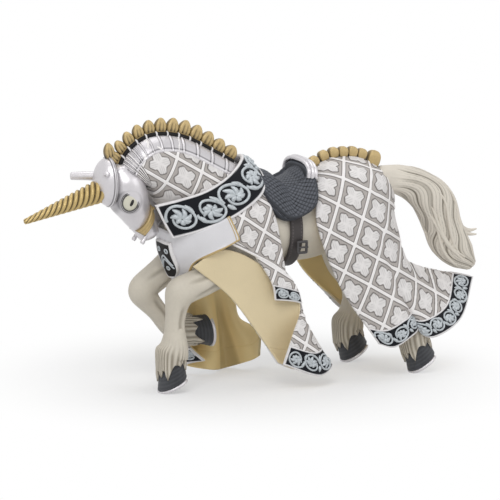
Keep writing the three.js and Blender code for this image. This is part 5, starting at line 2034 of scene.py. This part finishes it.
@dataclass(frozen=True)
class Arch:
    """A leaning arched wall across the saddle, hollowed to the front."""

    foot: Span  # x and z
    lean: float  # degrees
    half: float  # half its width
    height: float
    thick: float  # half its thickness
    square: float = 0.7
    root: float = 6.0  # how far it runs down into the seat

    def place(self, across: Array, up: Array, depth: Values) -> Array:
        """From the wall's own frame to the drawing."""
        return tipped(depth, across, up, -self.lean) + np.array([self.foot[0], 0, self.foot[1]])

    def crown(self, turns: Array, proud: float = 0.0) -> tuple[Array, Array]:
        """Across and up on the squarish arch."""
        across = np.sign(np.cos(turns)) * np.abs(np.cos(turns)) ** self.square
        return (self.half + proud) * across, (self.height + proud) * np.sin(turns) ** self.square

    def wall(self) -> Shape:
        """The wall itself.

        Returns:
            Its shape.
        """
        turns = np.pi * edged(2.6 * self.half, 0.35)[None]
        rise = edged(self.height + self.root, 0.35)[:, None]
        across, crown = self.crown(turns)
        tall = crown + self.root
        gap = np.minimum(np.minimum(rise, 1 - rise) * tall, self.half - np.abs(across))
        thick = self.thick * rolled(gap, 0.8)
        dish = 0.5 * (across / self.half) ** 2
        front, back = (self.place(across, tall * rise - self.root, way * thick - dish) for way in (-1, 1))
        return slab(front, back, 0.25 + 0.5 * ease(1.4, 0.6, gap))

    def trim(self) -> list[Strand]:
        """Three rolled cords over the arch.

        Returns:
            The cords.
        """
        found = []
        for depth, proud, radius in ((-1.35, 0.75, 0.75), (0, 1.1, 0.8), (1.35, 0.75, 0.75)):
            across, up = self.crown(np.linspace(0, np.pi, 60), proud)
            found.append(Strand(self.place(across, up + 0.2, depth), radius))
        return found


@dataclass(frozen=True)
class Leather:
    """A piece of saddle leather on the trunk, from near the spine down to the saddle's rim."""

    front: float
    back: float
    top: float | None  # angle of its upper edge, or None for both sides in one
    fall: float  # length of its mesh from top to rim
    inner: float  # how far its faces lie above the skin
    outer: float
    tooling: float  # depth of the crossed tooling
    ahead: float = 0.0  # how its lower edge lies to the rim
    drop: float = 0.0


@dataclass
class Saddle(Assembly):
    """Saddle, cantle with its trim, pommel, flaps, girth and buckles, seated on the trunk."""

    trunk: Limb
    seat: Leather = Leather(-2.6, 19.4, None, 30, 0.3, 3.6, 0.04, -1.0, -0.9)
    flap: Leather = Leather(-1.4, 19.8, 0.5, 15, 3.4, 5.0, 0.16)
    sunk: float = 1.8  # how far its front lies lower
    cantle: Arch = Arch((18.9, 72.9), 8.0, 9.6, 4.4, 1.3)
    pommel: Arch = Arch((4.8, 71.9), -17, 5.0, 2.5, 1.5)
    girth_x: float = 11.0
    girth_width: float = 5.0
    girth_radius: float = 13.0
    buckle_y: float = 15.8
    buckle_z: float = 49.5
    buckle_half: Span = (1.7, 2.0)

    RIM = ((-1.6, 72), (2.4, 65.4), (7, 61), (12.4, 61.2), (18, 65), (20, 72))
    ROUNDING = 0.7
    WIDEST = 1.9  # angle from the spine past any leather

    def build(self) -> None:
        """Make the saddle's pieces."""
        shop = self.shop
        shop.mould("saddle_seat", self.leather(self.seat, Side.FAR), LEATHER_PAINT)
        for side in Side:
            shop.mould(f"{side.label}_saddle_flap", self.leather(self.flap, side), LEATHER_PAINT)
            buckle = f"{side.label}_girth_buckle"
            shop.strands(f"{buckle}_moulding", self.buckle(side), IRON_PAINT, 10, buckle)
        shop.mould("saddle_cantle", self.cantle.wall(), LEATHER_PAINT)
        shop.strands("cantle_trim_moulding", self.cantle.trim(), SILVER_PAINT, 12, "cantle_trim")
        shop.mould("saddle_pommel", self.pommel.wall(), LEATHER_PAINT)
        shop.mould("girth_strap", self.girth(), GIRTH_PAINT)

    def rim_height(self, x: Array) -> Array:
        """Height of the saddle's rim at x."""
        run = smooth_run(np.array(self.RIM), even(120))
        return np.interp(x, run[:, 0], run[:, 1])

    def leather(self, cut: Leather, side: Side) -> Shape:
        """Lay a piece of leather on the trunk.

        Args:
            cut: its sizes.
            side: near or far.

        Returns:
            The shape.
        """
        trunk, length = self.trunk, cut.back - cut.front
        columns = cut.front + length * edged(length, 0.3)
        middle = trunk.share_at_x(columns, np.array([math.pi - 1.2]), cut.outer)[:, 0]
        low = self.rim_height(columns - cut.ahead) + cut.drop - trunk.frame(middle)[0][:, 2]
        bottom = np.arccos(np.clip(low / (trunk.sizes(middle)[:, 0] + cut.outer), -0.95, 0.95))[:, None]
        upper = -bottom if cut.top is None else cut.top
        fallen = upper + (bottom - upper) * edged(cut.fall, 0.3)[None]
        fine = np.linspace(-self.WIDEST, self.WIDEST, 90)
        turned = math.pi - side.value * fine
        table = [trunk.share_at_x(place, turned, cut.outer)[0] for place in columns[:, None]]
        shares = np.stack([np.interp(row, fine, found) for row, found in zip(fallen, table)])
        turns = math.pi - side.value * fallen
        fall = run_lengths(trunk.skin(shares, turns, cut.outer), 1)
        ends = np.minimum(columns - cut.front, cut.back - columns)[:, None]
        gap = np.minimum(ends, np.minimum(fall, fall[:, -1:] - fall))
        run = 0.9 * columns[:, None]
        cross = [np.abs(np.sin(np.pi * (run + way * fall) / 1.7)) ** 0.6 for way in (1, -1)]
        inset = ease(0.7, 1.1, gap)
        weave = (2 * np.minimum(*cross) - 1) * inset
        height = cut.tooling * (weave + 0.8 * (1 - inset))
        raised = np.clip(0.42 + 0.6 * weave - 0.1 * (1 - inset), 0, 1)
        base = (cut.inner + cut.outer) / 2 - self.sunk * ease(6, -1, columns)[:, None]
        half = (cut.outer - cut.inner) / 2
        return trunk.cover(shares, turns, gap, base, half + height, half, raised, self.ROUNDING)

    def girth(self) -> Shape:
        """The girth round the barrel, with stitched edges.

        Returns:
            The shape.
        """
        wide, along = edged(self.girth_width, 0.25), even(240)
        ends = math.pi - 1.0
        turns = np.linspace(-ends, ends, len(along))
        shares = self.trunk.share_at_x(self.girth_x + self.girth_width * (wide - 0.5), turns, 1.2)
        gap = edge_gap(wide, self.girth_width, along, 2 * ends * self.girth_radius)
        stitch = ridge(gap, 0.8, 0.16) * (0.5 + 0.5 * np.sign(np.sin(turns * 80)))
        paint = 0.3 + 0.5 * stitch
        return self.trunk.cover(shares, turns, gap, 0.7, 0.8 + 0.12 * stitch, 0.5, paint, 0.5)

    def buckle(self, side: Side) -> list[Strand]:
        """A square girth buckle with its tongue.

        Args:
            side: near or far.

        Returns:
            The loop and the tongue.
        """
        half, y = self.buckle_half, side.value * self.buckle_y
        corners = [(-1, -1), (1, -1), (1, 1), (-1, 1), (-1, -1)]
        square = np.array([(half[0] * a, y - side.value * 0.35 * (b < 0), half[1] * b) for a, b in corners])
        loop = np.concatenate([np.linspace(a, b, 9)[:-1] for a, b in zip(square, square[1:])] + [square[:1]])
        place = np.array([self.girth_x + self.girth_width / 2 - 0.9, 0, self.buckle_z])
        tongue = np.linspace((-half[0], y, 0), (half[0] + 0.4, y + side.value * 0.3, 0), 8)
        return [Strand(loop + place, 0.5), Strand(tongue + place, 0.35)]


@dataclass
class Studio(Assembly):
    """Pale floor, soft light and a long-lens camera at the photograph's angle."""

    azimuth: float = -25.0
    elevation: float = 11.0
    view_width: float = 178.57
    middle_right: float = -0.54
    middle_up: float = 45.9
    lens: float = 900.0
    sensor: float = 36.0
    ambient: float = 0.45
    floor_reach: float = 3.0  # metres
    floor_grey: float = 0.86
    fade_start: float = 0.035
    fade_stop: float = 0.11
    fade_least: float = 0.4

    # Place, size and power of each lamp.
    LAMPS = {
        "key_light": ((-0.5, -0.75, 0.95), 0.7, 6.4),
        "fill_light": ((0.75, -0.7, 0.5), 0.8, 2.0),
        "top_light": ((0.1, 0.35, 1.1), 0.8, 3.2),
    }
    LAMP_AIM = (0, 0, 0.05)
    WHITE = (1, 1, 1, 1)

    def build(self) -> None:
        """Set the camera, the lamps, the world and the floor."""
        bpy.context.scene.view_settings.view_transform = "Standard"
        self.camera()
        for name, lamp in self.LAMPS.items():
            self.lamp(name, *lamp)
        self.world()
        self.floor()

    def camera(self) -> None:
        """Aim the camera."""
        az, el = math.radians(self.azimuth), math.radians(self.elevation)
        right = Vector((math.cos(az), math.sin(az), 0))
        back = Vector((math.sin(az) * math.cos(el), -math.cos(az) * math.cos(el), math.sin(el)))
        up = back.cross(right)
        aim = Vector(self.shop.place(np.zeros(3))) + (right * self.middle_right + up * self.middle_up) * MM
        data = bpy.data.cameras.new("photo_camera")
        data.lens, data.sensor_width = self.lens, self.sensor
        data.clip_end = 10
        distance = self.view_width * self.lens / self.sensor * MM
        camera = bpy.data.objects.new("photo_camera", data)
        turn = Matrix((right, up, back)).transposed().to_4x4()
        camera.matrix_world = Matrix.Translation(aim + back * distance) @ turn
        bpy.context.scene.collection.objects.link(camera)
        bpy.context.scene.camera = camera

    def lamp(self, name: str, place: Place, size: float, power: float) -> None:
        """A square soft lamp aimed at the horse.

        Args:
            name: its name.
            place: where it hangs, in metres.
            size: its side, in metres.
            power: watts.
        """
        data = bpy.data.lights.new(name, "AREA")
        data.size, data.energy = size, power
        lamp = bpy.data.objects.new(name, data)
        lamp.location = place
        lamp.rotation_euler = (Vector(self.LAMP_AIM) - Vector(place)).to_track_quat("-Z", "Y").to_euler()
        bpy.context.scene.collection.objects.link(lamp)

    @staticmethod
    def seen(bench: NodeBench) -> Shade:
        """1 for rays that show the backdrop, 0 for rays that light the horse.

        Args:
            bench: the tree that asks.

        Returns:
            The value.
        """
        path = bench.add("ShaderNodeLightPath").outputs
        rays = [Shade(bench, path[f"Is {kind} Ray"]) for kind in ("Camera", "Glossy", "Transmission")]
        return (rays[0] + rays[1] + rays[2]).capped()

    def world(self) -> None:
        """White to the eye, softer as light."""
        world = bpy.data.worlds.new("studio")
        world.use_nodes = True
        bench = NodeBench(world.node_tree)
        light, shown = (bench.shade("ShaderNodeBackground", {"Color": self.WHITE, "Strength": strength})
                        for strength in (self.ambient, 1.0))
        mixed = bench.shade("ShaderNodeMixShader", {0: self.seen(bench), 1: light, 2: shown})
        bench.add("ShaderNodeOutputWorld", {"Surface": mixed})
        bpy.context.scene.world = world

    def floor(self) -> None:
        """A pale floor that keeps the shadow and fades into the white."""
        mesh = bpy.data.meshes.new("floor")
        reach = self.floor_reach
        corners = [(a * reach, b * reach, 0) for a, b in ((-1, -1), (1, -1), (1, 1), (-1, 1))]
        mesh.from_pydata(corners, [], [(0, 1, 2, 3)])
        floor = bpy.data.objects.new("floor", mesh)
        bpy.context.scene.collection.objects.link(floor)
        material = bpy.data.materials.new("pale_floor")
        material.use_nodes = True
        bench = NodeBench(material.node_tree)
        place = bench.shade("ShaderNodeTexCoord", output="Object")
        far = bench.shade("ShaderNodeVectorMath", {0: place}, "Value", operation="LENGTH")
        fade = bench.shade("ShaderNodeMapRange", {
            "Value": far, "From Min": self.fade_start, "From Max": self.fade_stop,
            "To Min": self.fade_least, "To Max": 1.0,
        }, interpolation_type="SMOOTHSTEP")
        paper = bench.shade("ShaderNodeBsdfDiffuse", {"Color": (*[self.floor_grey] * 3, 1)})
        glow = bench.shade("ShaderNodeEmission", {"Color": self.WHITE, "Strength": 1.0})
        mixed = bench.shade("ShaderNodeMixShader", {0: fade * self.seen(bench), 1: paper, 2: glow})
        bench.add("ShaderNodeOutputMaterial", {"Surface": mixed})
        mesh.materials.append(material)


TRUNK = [(-28, 0, 53, 10, 8), (-20, 0, 55.5, 16.5, 12), (-8, 0, 58, 18.5, 14), (8, 0, 55, 13.5, 13.6),
         (19, 0, 56.2, 14.2, 13.6), (29, 0, 59.6, 15.8, 13.8), (39, 0, 60.4, 15.4, 14),
         (46, 0, 59.6, 12.6, 11.6), (49.5, 0, 59.4, 9.6, 8)]
NECK = [(-9, 0, 60, 16, 10.5), (-22, 0, 70.4, 13.4, 9.4), (-33, 0, 78.6, 11, 8.2),
        (-40.5, 0, 81, 8.8, 7.4), (-45, 0, 79.6, 6.6, 6.6), (-47, 0, 77.4, 5, 5.4)]
NECK_LEANS = [-38, -36, -19, 4, 32, 56]
HEAD = [(-52.5, 0, 80, 4.4, 5.2), (-51, 0, 76.5, 6.6, 7.2), (-48.2, 0, 69.5, 7.2, 7.8),
        (-45, 0, 63.7, 5.3, 6.2), (-42.3, 0, 59.6, 4.4, 5), (-40.6, 0, 56.4, 4, 4.8)]
TAIL = [(50.5, 0, 68.8, 4.6, 3.6), (58, 0, 67.8, 5.2, 4.4), (65.5, 0, 64.5, 6.2, 5),
        (72, 0, 58.5, 7.2, 5.4), (75.5, 0, 50.5, 6.6, 5), (78.4, 0, 43.6, 6.8, 4.8),
        (83, 0, 38.2, 5.2, 3.8), (86.8, 0, 34.4, 2.2, 1.8)]
LEGS = {
    "near_fore": [(-7, -7.5, 54, 9, 5.6), (-12, -8.6, 46, 7.6, 5.4), (-22.5, -9.3, 39.6, 5.6, 4.8),
                  (-32, -9.5, 35, 5, 4.3), (-34.4, -9.5, 26, 3.6, 3.2), (-34.6, -9.5, 17.5, 4.3, 4.1)],
    "far_fore": [(-10, 7.5, 55, 9, 5.6), (-19, 8.6, 47.5, 7, 5.4), (-30, 9.2, 40.5, 5.5, 4.8),
                 (-37.6, 9.4, 33.4, 4.9, 4.2), (-32.6, 9, 25.4, 3.6, 3.3), (-27, 8.2, 19.4, 4.1, 3.9)],
    "near_hind": [(39, -7, 58, 8.4, 6), (37, -8.4, 47, 8, 5.8), (45, -10.2, 37, 6, 5),
                  (53.5, -12.2, 29.5, 4.6, 4.1), (56.8, -13.2, 20, 3.8, 3.4)],
    "far_hind": [(38, 7, 58, 8.4, 6), (37, 8.4, 47, 6.4, 5.4), (40, 10.4, 37.5, 5.4, 4.8),
                 (45.5, 12.2, 29.5, 4.6, 4.1), (46, 13.2, 20, 3.8, 3.4)],
}
HOOVES = {
    "near_fore": HoofFrame.planted(-35.5, -9.5, 26, 0.27),
    "far_fore": HoofFrame((-13.8, 7.5, 17.5), 96),
    "near_hind": HoofFrame.planted(60.5, -14, 34),
    "far_hind": HoofFrame.planted(47, 14, 34),
}
REAR_FRONT = {
    Side.NEAR: [[(22, 0.5, 73.6), (20.4, 10.4, 68.6), (18.6, 15.6, 56), (26.4, 18.4, 34), (40, 21.6, 13)],
                [(30, 0.5, 77.4), (29, 11.6, 71), (28.5, 16.8, 57), (35.5, 20.4, 34), (46, 22.6, 11.6)]],
    Side.FAR: [[(22, 0.5, 73.6), (20.4, 10.4, 68.6), (18.6, 15.6, 56), (27.6, 18.4, 36),
                (43.6, 20.6, 20.6)],
               [(30, 0.5, 77.4), (29, 11.6, 71), (28.5, 16.8, 57), (36.4, 20.4, 35), (49.4, 22.4, 15.4)]],
}
REAR_BACK = [
    [(38, 0.5, 77.6), (37, 12.2, 71.4), (38, 17.2, 57), (43.6, 19.6, 35.4), (53.5, 22.2, 15.4)],
    [(41, 0.5, 77), (40.4, 12, 70.9), (41.8, 16.2, 56.6), (47.4, 17.4, 35.4), (57.4, 18.4, 16.4)],
    [(44, 0.5, 76), (43.5, 11.6, 70), (45.4, 15.6, 56), (51, 17, 35), (62, 21, 13.4)],
    [(48.6, 0.5, 73.4), (49.6, 7.6, 67.6), (51.6, 9.4, 54.4), (58, 11, 35.4), (76, 14.4, 18)],
    [(51.6, 0.5, 71), (55.4, 0.5, 63), (56, 0.5, 52), (61.5, 0.5, 37.4), (87.6, 0.5, 29.6)],
]
PANEL = [
    [(-20, 13.2, 64), (-12, 12.8, 67.6), (-6, 12, 70), (-1.4, 11.2, 70.6)],
    [(-19, 14.4, 60), (-10, 15.6, 61.4), (-3, 15.4, 62), (2.2, 14.8, 61.6)],
    [(-17, 15.4, 56), (-9, 16.2, 54.4), (-1, 16.2, 52), (4.4, 15.8, 50)],
    [(-15.5, 15.8, 52.8), (-7, 16.6, 48.2), (0, 17, 44), (5.6, 17, 40)],
]
FOLD = [
    [(-7, 15.9, 49.4), (-0.6, 16.3, 45.6), (5.6, 16.4, 41.4)],
    [(-1, 18.3, 38.6), (4, 18.9, 37), (9.4, 18.6, 35)],
    [(0.4, 18.5, 31.8), (5.4, 19.4, 31.2), (11, 18.8, 29.8)],
]
SKIRTS = {
    Side.NEAR: [
        [(-29, 13, 45.4), (-20, 14.6, 51), (-11, 15, 49), (-2.4, 15.2, 43.6), (3.5, 15.4, 39.2),
         (8, 16, 35.4)],
        [(-15.5, 15.4, 33.5), (-9.5, 15.4, 34.4), (-2, 15.4, 33.4), (5, 15.8, 32.4), (9.8, 17, 30.4),
         (10.6, 18.4, 28.4)],
        [(-5, 17.4, 19), (1, 16.6, 19), (8, 16.8, 18.6), (14, 19.4, 18.2), (11.6, 23.2, 18.6),
         (5, 24.2, 20.6)],
        [(1.4, 19.4, 9.2), (9, 17.6, 5.8), (17, 17.8, 5.8), (21.4, 21, 6.4), (14.5, 25, 4.2),
         (0.5, 25, 9.6)],
    ],
    Side.FAR: [
        [(-26, 13.6, 46), (-22, 14.6, 47), (-18, 15.2, 47.4), (-14, 15.4, 47), (-9, 15.4, 45.4),
         (-5, 15.4, 43.6)],
        [(-22, 15.4, 31), (-17, 17, 31), (-12, 16, 31), (-7, 17.4, 31), (-2, 16.4, 30), (1, 17.8, 28)],
        [(-20.4, 14.6, 20), (-15, 19, 19.6), (-9.4, 15, 19.6), (-4, 19.4, 19.6), (0.6, 15.6, 19),
         (3.4, 18.4, 18.6)],
        [(-19, 12.6, 12), (-15, 19.8, 10.6), (-8.6, 14.4, 10.2), (-2, 20.4, 10), (5, 14.6, 11),
         (11.6, 19, 13)],
        [(-13.6, 9.8, 6), (-17.6, 17, 3.2), (-9, 13.8, 1.4), (-0.4, 20.8, 0.2), (6.4, 14.4, 3.4),
         (12.4, 20, 3.6)],
    ],
}
# Painted shade in the troughs of the far skirt lining's folds; the near skirt has none.
FOLD_SHADE = {Side.NEAR: 0.0, Side.FAR: 0.6}
# The far lining stands in the shade, so its paint is made lighter and warmer: painted bounce light.
LININGS = {Side.NEAR: LINING_PAINT, Side.FAR: BOUNCE_LIT_LINING_PAINT}
COLLAR_HALF = [
    [(-4.6, 0, 81.4), (-12.5, 9, 77), (-23, 11.8, 72.4), (-33, 11.4, 70), (-42, 9, 68)],
    [(-1.2, 0, 78.8), (-6.6, 11.4, 73.4), (-17, 14, 67.4), (-29, 13.2, 63.6), (-39, 9.6, 61.6)],
    [(2, 0, 75.6), (-1.2, 13, 70.2), (-13, 15.9, 63), (-26, 14.6, 58.4), (-35.5, 9.8, 55.6)],
]
BIB_HALF = [
    [(-35.2, 0, 57.4), (-33.8, 7, 57), (-28.4, 13.6, 58), (-21, 15.8, 61), (-16.6, 16.6, 63.2)],
    [(-34.4, 0, 50), (-32.6, 7.6, 50), (-27.4, 13.8, 53.6), (-20, 16.6, 56.4), (-14.6, 17.4, 58.6)],
    [(-32, 0, 43), (-29.8, 6.4, 44.4), (-27, 12.8, 50), (-20, 16.8, 53), (-13.6, 17.8, 56.2)],
    [(-30, 0, 37), (-27.6, 4.6, 40), (-27.2, 11, 46.6), (-21.4, 16.6, 50.8), (-13.2, 17.8, 54.8)],
]


def sided(rows: Sequence, side: Side, flip: bool = False) -> Net:
    """A cloth net on one side, its outer face away from the horse unless flipped."""
    return Net(np.array(rows, float) * np.array([1, side.value, 1]), side.value * (-1 if flip else 1))


def unfolded(half: Sequence, outward: float) -> Net:
    """A net on both sides of the horse, from its rows on the far side."""
    rows = np.array(half, float)
    return Net(np.concatenate([rows[:, :0:-1] * np.array([1, -1, 1]), rows], axis=1), outward)


def rear_net(side: Side) -> Net:
    """The rear cloth's net, drawn in columns from the ridge to the hem."""
    columns = np.array([*REAR_FRONT[side], *REAR_BACK], float)
    return sided(columns.transpose(1, 0, 2), side)


def main() -> None:
    """Build every piece of the horse, then the studio."""
    logging.basicConfig(level=logging.INFO, format="%(message)s")
    shop = Workshop({row["node"]: row["material_slot"] for row in frame["record"]["subparts"]})
    trunk, tail, head = (Limb(np.array(rows, float)) for rows in (TRUNK, TAIL, HEAD))
    neck = Limb(np.array(NECK, float), np.array(NECK_LEANS, float))
    Torso(shop, trunk, neck, tail).build()
    for name, stations in LEGS.items():
        Leg(shop, name, stations, HOOVES[name]).build()
    Head(shop, head).build()
    NeckArmour(shop, neck).build()
    Collar(shop, unfolded(COLLAR_HALF, -1), unfolded(BIB_HALF, 1)).build()
    for side in Side:
        near = side is Side.NEAR
        skirt = sided(SKIRTS[side], side, flip=near)
        fold = sided(FOLD, side) if near else None
        FrontCloth(shop, side, sided(PANEL, side), skirt, LININGS[side], FOLD_SHADE[side], fold).build()
        RearCloth(shop, side, rear_net(side)).build()
    CroupCrest(shop, rear_net(Side.NEAR)).build()
    Saddle(shop, trunk).build()
    Studio(shop).build()


if __name__ == "__main__":
    main()
